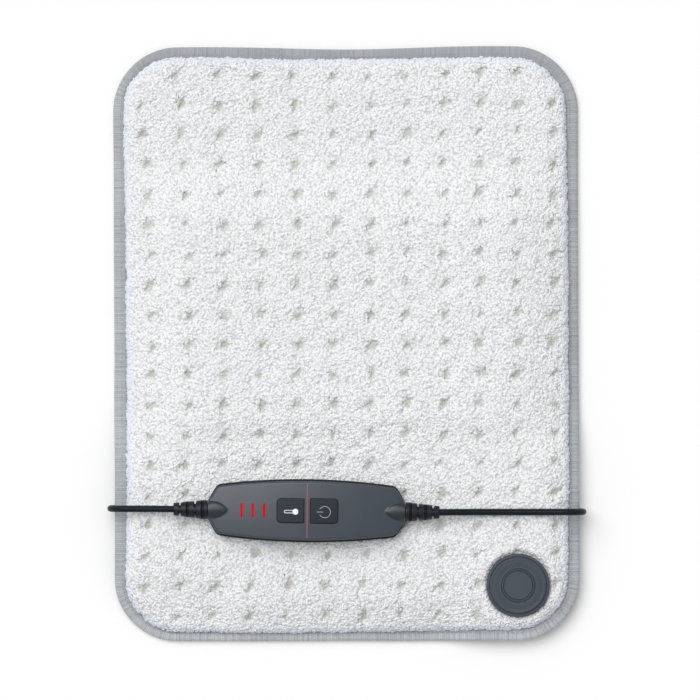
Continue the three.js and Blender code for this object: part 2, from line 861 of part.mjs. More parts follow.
// The bulge that runs from the end of the housing back over the boot
function hood(end) {
  const start = halfHousing - hoodLead - hoodTaper;
  const radius = bootCollarRadius;
  const nose = [0, 1, 2, 3, 4, 5].map((step) => {
    const angle = step / 5 * Math.PI / 2;
    return [radius * Math.sin(angle), start + hoodTaper * (1 - Math.cos(angle))];
  });
  return alongHousing([...nose, [radius, halfHousing], [0, halfHousing]], end, 16);
}

function bootSpace(end) {
  const inner = halfHousing - housingWall;
  const flange = inner - bootFlangeLength - 2 * fit;
  const stub = leadDiameter / 2 + fit;
  return alongHousing([
    [0, bootInnerEnd - fit], [stub, bootInnerEnd - fit], [stub, flange],
    [bootFlangeRadius + fit, flange], [bootFlangeRadius + fit, inner],
    [bootNeckRadius + fit, inner], [bootNeckRadius + fit, halfHousing + overrun],
    [0, halfHousing + overrun],
  ], end, 16);
}

function boot(end) {
  const flange = halfHousing - housingWall - fit - bootFlangeLength;
  const collar = halfHousing + fit;
  const ribStart = collar + bootCollarLength;
  const pitch = (bootTip - ribStart) / bootRibs;
  const profile = [
    [0, bootInnerEnd], [leadDiameter / 2, bootInnerEnd], [leadDiameter / 2, flange],
    [bootFlangeRadius, flange], [bootFlangeRadius, flange + bootFlangeLength],
    [bootNeckRadius, flange + bootFlangeLength], [bootNeckRadius, collar],
    [bootCollarRadius, collar],
  ];
  for (let rib = 0; rib < bootRibs; rib += 1) {
    const start = ribStart + rib * pitch;
    const outer = THREE.MathUtils.lerp(bootCollarRadius, bootTipRadius, rib / bootRibs);
    const next = THREE.MathUtils.lerp(bootCollarRadius, bootTipRadius, (rib + 1) / bootRibs);
    profile.push([outer, start], [outer - bootGrooveDepth, start]);
    profile.push([outer - bootGrooveDepth, start + bootGroove], [next, start + bootGroove]);
  }
  profile.push([bootTipRadius, bootTip], [0, bootTip]);
  return alongHousing(profile, end, 12);
}

const housingTall = housingHeight + overrun;
const sideSigns = [-1, 1];
const shellScrewPlaces = sideSigns.flatMap((endSign) => (
  sideSigns.map((side) => [endSign * shellScrewX, side * shellScrewY])
));
const shellScrewTip = housingTop(shellScrewX) - housingWall - screwBite;

// A button with a flange that the top shell holds down
const buttonReach = powerButtonX + powerButtonLength / 2 + buttonFlange;
const flangeTop = housingTop(buttonReach) - housingWall - housingSideCrown - fit;
const flangeBottom = flangeTop - buttonFlangeHeight;

function buttonShape(x, length, width, radii, grow) {
  const grown = radii.map((radius) => radius + grow);
  return roundedShape(length / 2 + grow, width / 2 + grow, grown, x, 0);
}

const buttons = [
  {
    name: 'heat',
    x: heatButtonX,
    shape: (grow) => buttonShape(heatButtonX, heatButtonLength, heatButtonWidth,
      [buttonInnerRadius, buttonOuterRadius], grow),
  },
  {
    name: 'power',
    x: powerButtonX,
    shape: (grow) => buttonShape(powerButtonX, powerButtonLength, powerButtonWidth,
      [buttonOuterRadius, buttonInnerRadius], grow),
  },
];

function button({ shape }) {
  const cap = housing(0, buttonProud).intersect(prism(shape(0), flangeBottom, housingTall));
  return cap.add(prism(shape(buttonFlange), flangeBottom, flangeTop));
}

function levelShape(x, grow) {
  const halfX = levelWidth / 2 + grow;
  return roundedShape(halfX, levelLength / 2 + grow, halfX * levelRoundShare, x, 0);
}

function lineSpace(grow) {
  const halfX = lineWidth / 2 + grow;
  const halfY = lineLength / 2 + grow;
  const slot = block(lineX - halfX, lineX + halfX, -halfY, halfY, partingHeight, housingTall);
  return slot.subtract(housing(0, -lineDepth - grow));
}

function topShell() {
  const above = block(
    -halfHousing - overrun, halfHousing + overrun, -housingWidth, housingWidth,
    partingHeight + seam / 2, housingTall,
  );
  let body = housing();
  sideSigns.forEach((end) => {
    body = body.add(hood(end));
  });
  body = body.subtract(housing(housingWall));
  shellScrewPlaces.forEach(([x, y]) => {
    const column = post(screwShankRadius + fit + bossThickness, x, y, 0, housingTall);
    body = body.add(column.intersect(housing()));
  });
  body = body.intersect(above);
  sideSigns.forEach((end) => {
    body = body.subtract(bootSpace(end));
  });
  shellScrewPlaces.forEach(([x, y]) => {
    body = body.subtract(screwHole(x, y, shellScrewTip));
  });
  buttons.forEach(({ shape }) => {
    body = body.subtract(prism(shape(fit), partingHeight, housingTall));
  });
  levelXs.forEach((x) => {
    body = body.subtract(prism(levelShape(x, fit), partingHeight, housingTall));
  });
  return body.subtract(lineSpace(fit));
}

function bottomShell() {
  const below = block(
    -halfHousing - overrun, halfHousing + overrun, -housingWidth, housingWidth,
    -overrun, partingHeight - seam / 2,
  );
  let body = housing();
  sideSigns.forEach((end) => {
    body = body.add(hood(end));
  });
  body = body.subtract(housing(housingWall));
  shellScrewPlaces.forEach(([x, y]) => {
    const radius = screwShankRadius + fit + bossThickness;
    body = body.add(post(radius, x, y, housingWall / 2, partingHeight));
  });
  sideSigns.forEach((end) => {
    sideSigns.forEach((side) => {
      const support = post(
        postRadius, end * postX, side * postY, housingWall / 2, boardHeight - fit,
      );
      body = body.add(support);
    });
    body = body.subtract(bootSpace(end));
  });
  shellScrewPlaces.forEach(([x, y]) => {
    body = body.subtract(screwHole(x, y, partingHeight));
  });
  return body.intersect(below);
}

// What stands on the circuit board
const partsLow = boardTop + fit;
const switchTop = partsLow + switchHeight;
const plungerLow = switchTop + pressTravel + fit;
const windowLow = partsLow + ledHeight + fit;

function standing([length, width, height], x, y) {
  return block(x - length / 2, x + length / 2, y - width / 2, y + width / 2,
    partsLow, partsLow + height);
}

function makeBoard(parent) {
  const shape = roundedShape(boardLength / 2, boardWidth / 2, postRadius);
  add(parent, 'circuit_board', prism(shape, boardHeight, boardTop), board);
  buttons.forEach(({ name, x }) => {
    add(parent, `${name}_switch`, standing([switchSize, switchSize, switchHeight], x, 0), steel);
    const plunger = post(plungerRadius, x, 0, plungerLow, flangeBottom - fit);
    add(parent, `${name}_switch_plunger`, plunger, blackPlastic);
  });
  levelXs.forEach((x, index) => {
    const led = standing([ledWidth, ledLength, ledHeight], x, 0);
    add(parent, `level_led_${index + 1}`, led, nylon);
  });
  const fuse = rod(
    fuseRadius, fuseY, partsLow + fuseRadius,
    powerPartsX - fuseLength / 2, powerPartsX + fuseLength / 2,
  );
  add(parent, 'triac', standing(triacSize, powerPartsX, 0), blackPlastic);
  add(parent, 'fuse', fuse, glass);
  add(parent, 'film_capacitor', standing(capacitorSize, powerPartsX, capacitorY), nylon);
  add(parent, 'control_chip', standing(chipSize, chipX, chipY), blackPlastic);
}

function makeBoots(parent) {
  const wireZ = boardTop + fit + wireRadius;
  [['mains', -1], ['pad', 1]].forEach(([name, end]) => {
    add(parent, `${name}_boot`, boot(end), rubber);
    sideSigns.forEach((side, index) => {
      const inner = end * (boardLength / 2 - wireOverBoard);
      const outer = end * (bootInnerEnd - fit);
      const wire = rod(
        wireRadius, side * wireSpread, wireZ, Math.min(inner, outer), Math.max(inner, outer),
      );
      add(parent, `${name}_wire_${index + 1}`, wire, copperWire);
    });
  });
}

function makeController(parent) {
  const controller = new THREE.Group();
  controller.position.set(controllerX, controllerY, controllerZ);
  controller.rotation.z = THREE.MathUtils.degToRad(controllerTurn);
  add(controller, 'controller_top_shell', topShell(), shell);
  add(controller, 'controller_bottom_shell', bottomShell(), shell);
  buttons.forEach((spec) => add(controller, `${spec.name}_button`, button(spec), key));
  const line = lineSpace(0).intersect(housing());
  add(controller, 'centre_line_inlay', line, pinkLine);
  levelXs.forEach((x, index) => {
    const bar = prism(levelShape(x, 0), windowLow, housingTall).intersect(housing());
    add(controller, `level_window_${index + 1}`, bar, redLens);
  });
  shellScrewPlaces.forEach(([x, y], index) => {
    add(controller, `shell_screw_${index + 1}`, screw(x, y, shellScrewTip), steel);
  });
  makeBoard(controller);
  makeBoots(controller);
  parent.add(controller);
}

const group = new THREE.Group();
makePad(group);
makeConnector(group);
makeLeads(group);
makeController(group);

export default group;
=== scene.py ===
import json
import math

import bpy
import numpy as np
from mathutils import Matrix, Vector

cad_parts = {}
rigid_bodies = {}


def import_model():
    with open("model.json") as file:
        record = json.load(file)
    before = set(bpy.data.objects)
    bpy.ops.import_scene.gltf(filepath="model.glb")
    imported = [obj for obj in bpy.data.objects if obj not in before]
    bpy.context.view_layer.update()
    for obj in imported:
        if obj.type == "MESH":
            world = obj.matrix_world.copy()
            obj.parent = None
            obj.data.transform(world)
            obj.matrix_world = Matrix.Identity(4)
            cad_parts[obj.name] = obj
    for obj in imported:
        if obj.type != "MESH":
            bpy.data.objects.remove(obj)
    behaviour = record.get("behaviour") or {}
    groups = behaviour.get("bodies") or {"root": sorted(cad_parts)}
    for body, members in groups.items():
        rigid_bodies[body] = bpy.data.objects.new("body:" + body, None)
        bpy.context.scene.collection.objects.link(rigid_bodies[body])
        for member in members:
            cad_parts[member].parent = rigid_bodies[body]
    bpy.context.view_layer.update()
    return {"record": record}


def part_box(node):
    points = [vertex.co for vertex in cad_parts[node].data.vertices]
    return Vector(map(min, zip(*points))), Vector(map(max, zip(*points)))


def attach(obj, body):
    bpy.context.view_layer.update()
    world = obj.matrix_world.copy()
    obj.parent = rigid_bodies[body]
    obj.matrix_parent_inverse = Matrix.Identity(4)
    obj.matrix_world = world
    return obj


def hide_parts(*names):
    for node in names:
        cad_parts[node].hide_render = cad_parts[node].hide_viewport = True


# A quilted plush heating pad that lies over its own leads, with its hand controller on top.
# Metres, +Z up. The origin is on the table under the middle of the pad.

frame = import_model()

MM = 0.001

# The photograph: the stretch of the table that it takes in, and the middle of the picture
PHOTO_WIDTH = 471.4 * MM
PHOTO_MIDDLE = (2.7 * MM, -4.0 * MM)
PHOTO_PLANE = 12 * MM
SENSOR_WIDTH = 36
LENS = 500

# Pad outline and heights above its underside
PAD_WIDTH = 313 * MM
PAD_LENGTH = 400 * MM
PAD_CORNER = 42 * MM
BACK_LOW = 1.1 * MM
BACK_HIGH = 2.1 * MM
WADDING_INSET = 11.6 * MM
LOWER_WADDING = (2.4 * MM, 3.6 * MM)
UPPER_WADDING = (6.0 * MM, 7.2 * MM)
WIRE_MIDDLE = 4.8 * MM
WIRE_RADIUS = 0.85 * MM
PILE_LOW = 7.5 * MM
PILE_TOP = 11.9 * MM
LAYER_STEP = 5 * MM
PAD_LEAN = 0.7 * MM
TOP_BOW = 1.0 * MM
TOP_BOW_REACH = 95 * MM
OUTLINE_SWAY = 0.2 * MM
SWAY_SIZE = 40 * MM
LEAN_MIDDLE = 0.3
LEAN_ACROSS = 0.6
TOP_BOW_LEVEL = 0.35

# Plush: curls on a knitted ground, drawn down by sewn tufts
PILE_STEP = 0.65 * MM
PILE_COARSE = 8
CURL_SIZE = 1.9 * MM
CURL_HEIGHT = 1.1 * MM
CURL_LENGTH = 1.05
CURL_WIDTH = 0.55
CURL_BEND = 0.35
CURL_BEND_SIZE = 1.4
CURL_STRAY = 0.45
CURL_LOWEST = 0.55
CURL_TABLE = 512
NOISE_TABLE = 256
FINE_CURL_SIZE = 1.25 * MM
FINE_CURL_HEIGHT = 0.75 * MM
CLUMP_SIZE = 5 * MM
CLUMP_HEIGHT = 0.45 * MM
BROAD_CLUMP = 0.6
BROAD_CLUMP_SIZE = 2.2 * CLUMP_SIZE
PILE_EDGE_FALL = 2.4 * MM
PILE_EDGE_RUN = 12 * MM
RIM_RUN = 3.2 * MM
RIM_DROP = 4.4 * MM
RIM_HEIGHT = 4.7 * MM
# How far in from the edge the pile begins, in millimetres, at the middle of each side, at each
# corner and halfway between, from the middle of the right side round by the top
RIM_INSETS = (7.8, 7.9, 9.3, 8.6, 7.6, 8.9, 7.6, 9.0, 9.3, 9.5, 8.1, 6.7, 7.2, 7.9, 9.5, 7.8)
RIM_TUCK = 11 * MM
RIM_FRAY = 0.6 * MM
RIM_FRAY_SIZE = 0.6 * CURL_SIZE
RIM_WAVE = 0.6
RIM_WAVE_SIZE = 4 * CURL_SIZE
# Where the painted bluish light on the pile's rolled rim begins, as a share of the roll
RIM_PAINTED_LIGHT_START = 0.3
UNDERSIDE_SHARE = 0.999
TUFT_COLUMNS = 12
TUFT_ROWS = 19
TUFT_MIDDLE = (4.3 * MM, -0.3 * MM)
TUFT_SPREAD = (134.8 * MM, 181.9 * MM)
ROW_LEAN = 0.8 * MM
COLUMN_LEAN = 3.0 * MM
COLUMN_BOW = 3.6 * MM
OUTER_LEAN = -3.5 * MM
END_SPREAD = 5.3 * MM
TUFT_LENGTH = 4.0 * MM
TUFT_WIDTH = 2.8 * MM
TUFT_DEPTH = 1.6 * MM
TUFT_DRAW = 0.9 * MM
TUFT_DRAW_SIZE = 6.5 * MM
TUFT_STRAY = 1.2 * MM
TUFT_FRAY_SIZE = 1.7 * MM
TUFT_FRAY = 0.9
TUFT_TURNS = (35, 72)
TUFT_SIZES = (0.8, 1.2)
TUFT_STRENGTHS = (0.75, 1)
TUFT_PIT = (1.5, 0.25)
CORNER_TUFT = 0.6
GROUND_MATTING = 0.45
UNDER_CAP = 0.2

# Binding: a ribbed tape folded round the edge and sewn down
TAPE_WIDTH = 10.6 * MM
TAPE_THICKNESS = 0.8 * MM
TAPE_HEIGHT = 4.5 * MM
TAPE_CROWN = 0.35 * MM
TAPE_CROWN_START = 0.15
TAPE_FLAT_STEPS = 8
TAPE_FOLD_STEPS = 7
TAPE_FOLD_TURN = 67.5
TAPE_STEP = 1.1 * MM
TAPE_RIBS = 1040
# The run over which the binding is painted darker, as painted shade, where it goes under the pile
PILE_EDGE_SHADE_RUN = 4 * MM
# Painted shade on the binding by side: how much darker its left and right stretches, and its top
# stretch, are painted than its bottom stretch
SIDE_PAINTED_SHADE = 0.3
TOP_PAINTED_SHADE = 0.6
PUCKER_STREAK = 0.12
PUCKER_SIZE = 2.6 * MM
PUCKER_HEIGHT = 0.45 * MM
STRAIGHT_PUCKER = 0.35
CORNER_PUCKER = 0.9
BROAD_PUCKER = 0.6
BROAD_PUCKER_SIZE = 5 * PUCKER_SIZE
STITCH_PITCH = 3.2 * MM
STITCH_LENGTH = 2.3 * MM
STITCH_THICKNESS = 0.42 * MM
STITCH_INSET = 5.2 * MM

# Leads and what they carry
LEAD_DIAMETER = 4.5 * MM
COIL_CENTRE = (-30 * MM, 30 * MM)
COIL_INNER = 18 * MM
COIL_TURNS = 4
COIL_PITCH = 4.95 * MM
COIL_LOW = 3.65 * MM
COIL_LAYER_RISE = 4.65 * MM
COIL_ENTRY = 42.75 * MM
STEPS_PER_TURN = 48
TIE_THICKNESS = 0.8 * MM

# Round cap of the connector
CAP_HEIGHT = 4 * MM
CAP_RIM_DROP = 0.7 * MM
CAP_DENT_START = 0.5 * MM
CAP_DENT_RUN = 3 * MM
CAP_FOOT_EDGE = 0.3 * MM
CAP_RIM_EDGE = 1.0 * MM
CAP_DISC = 18.8 * MM
CAP_DISC_EDGE = 0.5 * MM
CAP_GUTTER = (0.8 * MM, 0.5 * MM, 0.05 * MM)
CAP_BAND = (11.7 * MM, 17.2 * MM)
CAP_BAND_DEPTH = 0.15 * MM
CAP_BAND_EDGE = 0.12 * MM
CAP_BAND_STEPS = 20
CAP_BAND_MARGIN = 0.1 * MM
CAP_INNER_RING = 4 * MM
CAP_GROOVES = (11.2 * MM, 9.8 * MM)
CAP_GROOVE_HALF = 0.45 * MM
CAP_GROOVE_DEPTH = 0.5 * MM
CAP_GROOVE_SHAPE = ((1, 0), (0.55, 0.6), (0, 1), (-0.55, 0.6), (-1, 0))
CAP_SEGMENTS = 576
CAP_RIBS = 60
CAP_RIBBED = (12.9 * MM, 16.1 * MM)
CAP_RIB_END = 0.5 * MM
CAP_RIB_HEIGHT = 0.22 * MM
CAP_RIB_SHAPE = (1.6, 0.2)

# Controller housing
HANDSET_PLACE = (-26.5 * MM, -111.95 * MM, 22.7 * MM)
HANDSET_TURN = -0.7
HOUSING_HALF = 66.15 * MM
HOUSING_WIDTH = 42.4 * MM
SHOULDER_X = 60.15 * MM
SHOULDER_WIDTH = 34.3 * MM
END_WIDTH = 13.3 * MM
HOUSING_HEIGHT = 16.5 * MM
HOUSING_CROWN = 6.5 * MM
SIDE_CROWN = 0.8 * MM
CORNER_SOFTNESS = 1.3 * MM
PARTING = 7 * MM
SEAM = 0.15 * MM
WALL = 2 * MM
RIM_LEDGE = 1.35 * MM
INSET_FADE = 2.5 * MM
TOP_RADIUS = 1.4 * MM
FOOT_RADIUS = 3 * MM
BRIM_RADIUS = 0.3 * MM
HOOD_START = 52.6 * MM
HOOD_NOSE = 10.4 * MM
HOOD_HALF = 5.7 * MM
HOOD_LIFT = 3.0 * MM
HOOD_ROUNDING = 0.8
HOOD_RISING = 0.7
HOOD_EDGE = 0.4 * MM
SHELL_ROWS = 90
SHELL_COLUMNS = 300

# Buttons, marks, lights and the line between the buttons
# A key is the middle of its length, its size, and the radii of its left and right corners.
OUTER_CORNER = 2.7 * MM
INNER_CORNER = 0.6 * MM
KEYS = {
    "heat": (-10.7 * MM, (18.1 * MM, 16.2 * MM), (OUTER_CORNER, INNER_CORNER)),
    "power": (11.9 * MM, (18.5 * MM, 16.4 * MM), (INNER_CORNER, OUTER_CORNER)),
}
BUTTON_GAP = 0.3 * MM
BUTTON_PROUD = 0.3 * MM
BUTTON_EDGE = 0.45 * MM
BUTTON_ROWS = 48
FLANGE_TOP = 12.665 * MM
FLANGE_HEIGHT = 1 * MM
FLANGE_REACH = 1 * MM
INK_HEIGHT = 0.03 * MM
MARK_WIDTH = 0.42 * MM
MARK_STEP = 0.12 * MM
BULB_PLACE = (-7.4 * MM, -0.6 * MM)
BULB_RADIUS = 1.95 * MM
STEM_LENGTH = 6.6 * MM
STEM_HALF = 0.85 * MM
POWER_PLACE = (12.3 * MM, -0.6 * MM)
POWER_RADIUS = 3.8 * MM
POWER_GAP = 27
POWER_LINE = (5.6 * MM, 0.9 * MM)
LEVEL_XS = (-43.6 * MM, -36.1 * MM, -28.55 * MM)
LEVEL_SIZE = (1.7 * MM, 9.7 * MM)
LEVEL_CORNER = 0.4 * MM
LEVEL_LOW = 7.7 * MM
LEVEL_PROUD = 0.12 * MM
LEVEL_EDGE = 0.3 * MM
LEVEL_GRID = (48, 16)
LINE_X = 0.5 * MM
LINE_SIZE = (0.8 * MM, 36.7 * MM)
LINE_CORNER = 0.2 * MM
LINE_LOW = 14.9 * MM
LINE_PROUD = 0.05 * MM
LINE_EDGE = 0.1 * MM
LINE_GRID = (96, 8)
SCREW_PLACES = [(x * MM, y * MM) for x in (-50, 50) for y in (-11, 11)]
SCREW_HOLE = 2.8 * MM
SCREW_SIDES = 24

# Boots
BOOT_AXIS = 7 * MM
BOOT_INNER_END = 58 * MM
BOOT_FLANGE = 61.85 * MM
BOOT_FLANGE_RADIUS = 5 * MM
BOOT_FLANGE_DEPTH = 2 * MM
BOOT_NECK = 3.6 * MM
BOOT_COLLAR = 66.45 * MM
BOOT_COLLAR_RADIUS = 6.4 * MM
BOOT_COLLAR_EDGE = (0.2 * MM, 0.25 * MM)
BOOT_RIBS_START = 69.05 * MM
BOOT_TIP = 89.3 * MM
BOOT_TIP_RADIUS = 4.2 * MM
BOOT_RIBS = 4
BOOT_STEP = 0.22 * MM
BOOT_SEGMENTS = 96
GROOVE_LENGTH = 1.5 * MM
GROOVE_DEPTH = 2.0 * MM
GROOVE_EDGE = 0.35 * MM
RIB_EDGE = 0.45 * MM
BRIDGE_START = 0.955
BRIDGE_EDGE = 0.02
TIE_STEPS = 72
TIE_SQUARENESS = 0.35

# Places of the drape: what the pad lies over
# A field is its left, right, front and back ends and the run of the slope round it.
RIDGE_HEIGHT = 10.5 * MM
BUNDLE_HEIGHT = 14.3 * MM
BUNDLE_FIELD = (-97.2 * MM, 104.7 * MM, -44.5 * MM, 75.7 * MM, 60 * MM)
RIDGE_FIELDS = (
    (-PAD_WIDTH, PAD_WIDTH, -144.3 * MM, -80.3 * MM, 50 * MM),
    (-66 * MM, PAD_WIDTH, -162.3 * MM, -80.3 * MM, 38 * MM),
    (95.8 * MM, PAD_WIDTH, -PAD_LENGTH, -162.3 * MM, 38 * MM),
)
VALLEY_FILL = 4
EDGE_DROOP = 0.4
DROOP_RUN = 24 * MM
CAP_PLACE = (115.8 * MM, -162.3 * MM)
CAP_RADIUS = 21.3 * MM
CAP_LOW = 19.9 * MM
DRAPE_STEP = 2 * MM
DRAPE_STEPS = (90, 110)
DRAPE_ROUNDS = 20

# Routes of the free leads, from the controller to the coil, plug and connector
MAINS_ROUTE = [
    (-0.1158, -0.11086, 0.0297), (-0.121, -0.1108, 0.0297), (-0.133, -0.1107, 0.0278),
    (-0.141, -0.1107, 0.0265), (-0.14645, -0.1107, 0.02625), (-0.15245, -0.1107, 0.02464),
    (-0.15684, -0.1107, 0.02025), (-0.15845, -0.1107, 0.01425), (-0.15684, -0.1107, 0.00825),
    (-0.15245, -0.1107, 0.00386), (-0.14645, -0.1107, 0.0023), (-0.138, -0.1107, 0.0023),
    (-0.118, -0.107, 0.0023), (-0.1, -0.094, 0.0023), (-0.09, -0.074, 0.0023),
    (-0.085, -0.05, 0.0023), (-0.075, -0.027, 0.0026), (-0.057, -0.0145, 0.0035),
    (-0.042, -0.01275, 0.00365), (-0.03, -0.01275, 0.00365),
]
TAIL_ROUTE = [
    (0.01275, 0.03, 0.0083), (0.01275, 0.036, 0.0083), (0.015, 0.05, 0.0065),
    (0.024, 0.0635, 0.005), (0.038, 0.0685, 0.0046), (0.051, 0.0635, 0.005),
    (0.0585, 0.052, 0.0063), (0.06, 0.042, 0.00685), (0.06, 0.0363, 0.00685),
]
PAD_ROUTE = [
    (0.0628, -0.11304, 0.0297), (0.068, -0.113, 0.0297), (0.085, -0.1129, 0.0268),
    (0.105, -0.1129, 0.0251), (0.128, -0.1129, 0.0251), (0.14, -0.1129, 0.0258),
    (0.14765, -0.1129, 0.02625), (0.15365, -0.1129, 0.02464), (0.15804, -0.1129, 0.02025),
    (0.15965, -0.1129, 0.01425), (0.15804, -0.1129, 0.00825), (0.15365, -0.1129, 0.00386),
    (0.14765, -0.1129, 0.0023), (0.138, -0.1129, 0.0023), (0.09, -0.1129, 0.0023),
    (0.04, -0.1129, 0.0023), (-0.005, -0.1129, 0.0023), (-0.022, -0.117, 0.0023),
    (-0.032, -0.129, 0.0023), (-0.032, -0.146, 0.0023), (-0.022, -0.158, 0.0023),
    (-0.005, -0.1623, 0.0023), (0.03, -0.1623, 0.0023), (0.052, -0.1623, 0.0028),
    (0.07, -0.1623, 0.004), (0.0755, -0.1623, 0.004),
]

# Heating wire
WIRE_RUNS = 6
WIRE_TURN_STEPS = 13
WIRE_TOP_MARGIN = 30 * MM
WIRE_BOTTOM_MARGIN = 66 * MM
WIRE_RETURN_MARGIN = 44 * MM
WIRE_CLEAR = 12.6 * MM

# Table and light
TABLE_HALF = 3
TABLE_HEIGHT = -0.2 * MM
TABLE_GLOW = 0.02
ROOM_LIGHT = 0.56
LAMP_STRENGTH = 2.02
LAMP_SOFTNESS = 52
LAMP_FROM = (-0.38, 0.48, 1.0)
FAR_CLIP = 100

BODY = "pad_and_controller"

# Specular levels: of a grained plastic face, of a smoother one, of a dull rubbery one, and of
# a matt film over a light
SATIN_GLOSS = 0.3
SMOOTH_GLOSS = 0.6
DULL_GLOSS = 0.12
FLAT_GLOSS = 0.05

# Patterns of the finishes: the size of each, and the detail and roughness of a random one
MELT_DRIFT = (14 * MM, 2, 0.5)
FLEECE_FIBRE = (0.35 * MM, 3, 0.7)
FLEECE_CELL = 1.6 * MM
WADDING_FIBRE = (0.6 * MM, 4, 0.7)
TAPE_THREAD = (0.5 * MM, 3, 0.6)
TAPE_FOLD = (2.2 * MM, 3, 0.6)
TAPE_DRIFT = (24 * MM, 2, 0.5)
KNIT_WALE = 0.9 * MM
KNIT_NAP = (0.7 * MM, 4, 0.7)
METAL_LINE = (0.25 * MM, 4, 0.7)
BOARD_WEAVE = 0.6 * MM
GLASS_LINE = (1.5 * MM, 2, 0.5)
PAPER_GRAIN = (0.5 * MM, 3, 0.5)

# How deep the patterns of the finishes are
FLEECE_RELIEF = 1.0 * MM
WADDING_RELIEF = 0.3 * MM
TAPE_RELIEF = 0.6 * MM
KNIT_RELIEF = 0.2 * MM
METAL_RELIEF = 0.01 * MM
BOARD_RELIEF = 0.02 * MM
GLASS_RELIEF = 0.01 * MM
PAPER_RELIEF = 0.005 * MM

# Each plastic: its name, its colour, its roughness, the size and depth of its grain in
# millimetres, and the shade that it drifts to
PLASTICS = {
    "lead": ("extruded PVC lead", "#141B23", 0.4, 0.5, 0.02, "#181F28"),
    "heating cable": ("silicone heating cable", "#D9C9A8", 0.5, 0.4, 0.02, "#D2C19E"),
    "thread": ("polyester sewing thread", "#9DA1A5", 0.7, 0.3, 0.05, "#8F9397"),
    "black nylon": ("black moulded nylon", "#191A1C", 0.45, 0.4, 0.02, "#1D1E20"),
    "cap": ("grey moulded ABS of the cap", "#3F4750", 0.5, 0.45, 0.02, "#3C444C"),
    "shell": ("satin ABS of the housing", "#333C46", 0.36, 0.35, 0.012, "#303943"),
    "lower shell": ("dark ABS of the lower housing", "#111519", 0.5, 0.35, 0.012, "#14181D"),
    "key": ("satin ABS of the buttons", "#1D252F", 0.42, 0.3, 0.01, "#1B232C"),
    "light": ("red acrylic of the lights", "#CE0012", 0.4, 2, 0.004, "#CA0012"),
    "line": ("tinted line inlay", "#8C5565", 0.4, 0.4, 0.004, "#875262"),
    "white ink": ("white pad-printed ink", "#F2F4F5", 0.6, 0.3, 0.002, "#E9ECEE"),
    "grey ink": ("light grey pad-printed ink", "#A3A9AF", 0.6, 0.3, 0.002, "#9CA2A8"),
    "boot": ("thermoplastic rubber of the boots", "#10171F", 0.42, 0.4, 0.02, "#0D131A"),
    "wire insulation": ("red insulation of the wires", "#A63328", 0.45, 0.3, 0.01, "#9C2E24"),
    "pale nylon": ("natural nylon", "#D6D2C8", 0.5, 0.3, 0.01, "#CFCBC0"),
}
PLASTIC_EXTRAS = {
    "lead": {"gloss": DULL_GLOSS},
    "shell": {"marked": "#101C26", "gloss": SMOOTH_GLOSS},
    "light": {"gloss": FLAT_GLOSS},
}

# A wave texture at scale 1 repeats after this distance
WAVE_TURN = math.tau / 20


# Materials

def linear(colour):
    """The linear colour of an sRGB hex value."""
    shares = [int(colour[i:i + 2], 16) / 255 for i in (1, 3, 5)]
    return [s / 12.92 if s <= 0.04045 else ((s + 0.055) / 1.055) ** 2.4 for s in shares] + [1]


def join(made, **inputs):
    """Gives each input of a node a value, a hex colour, or another node's output."""
    for name, value in inputs.items():
        wanted = name.replace("_", " ").lower()
        socket = next(s for s in made.inputs
                      if wanted in (s.name.lower(), s.identifier.replace("_", " ").lower()))
        if isinstance(value, bpy.types.NodeSocket):
            made.id_data.links.new(value, socket)
        else:
            socket.default_value = linear(value) if isinstance(value, str) else value


def node(tree, kind, settings=None, **inputs):
    """The outputs of a new node with these settings and inputs."""
    made = tree.nodes.new(kind)
    for name, value in (settings or {}).items():
        setattr(made, name, value)
    join(made, **inputs)
    return made.outputs


def finish_of(name, colour, roughness, *patterns, **uniform):
    """A material of one Principled shader, with what is the same all over set on its sockets,
    and its random patterns from 0 to 1, each of a size, a detail and a roughness."""
    material = bpy.data.materials.new(name)
    material.use_nodes = True
    tree = material.node_tree
    shader = tree.nodes["Principled BSDF"]
    join(shader, Base_Color=colour, Roughness=roughness, **uniform)
    place = node(tree, "ShaderNodeTexCoord")["Object"]
    return material, tree, shader, place, *[
        node(tree, "ShaderNodeTexNoise", Vector=place, Scale=1 / size, Detail=detail,
             Roughness=rough)[0] for size, detail, rough in patterns]


def finished(material, shader, height, depth, base=None, *tints, **inputs):
    """The material, bumped by a height from 0 to 1 that stands for depth in metres. Its base
    colour goes towards each tint's colour in turn, by up to most, as that tint's pattern goes
    from low to high."""
    tree = shader.id_data
    for colour, value, low, high, most in tints:
        share = node(tree, "ShaderNodeMapRange", Value=value, From_Min=low, From_Max=high,
                     To_Max=most)[0]
        base = node(tree, "ShaderNodeMix", {"data_type": "RGBA"}, Factor_Float=share,
                    A_Color=base, B_Color=colour)[2]
    if base is not None:
        join(shader, Base_Color=base)
    bump = node(tree, "ShaderNodeBump", Height=height, Distance=depth, Strength=1.0)[0]
    join(shader, Normal=bump, **inputs)
    return material


def moulded_plastic(name, colour, roughness, grain, depth, shade, marked=None, gloss=SATIN_GLOSS):
    """Injection-moulded plastic: a fine spark-eroded grain, which breaks the gloss up a
    little, and a faint drift of shade from the flow of the melt. The grain scatters part of
    the gloss, so the specular level is under that of a polished face. Where the piece has a
    stored value marked, it is of the marked colour. Grain and depth are in millimetres."""
    material, tree, shader, _, speckle, drift = finish_of(
        name, colour, roughness, (grain * MM, 2, 0.5), MELT_DRIFT, Specular_IOR_Level=gloss)
    tints = [(shade, drift, 0.35, 0.65, 1)]
    if marked:
        stored = node(tree, "ShaderNodeAttribute", {"attribute_name": "marked"})["Fac"]
        tints.append((marked, stored, 0, 1, 1))
    rough = node(tree, "ShaderNodeMapRange", Value=speckle, From_Min=0.3, From_Max=0.7,
                 To_Min=roughness - 0.06, To_Max=roughness + 0.06)[0]
    return finished(material, shader, speckle, depth * MM, colour, *tints, Roughness=rough)


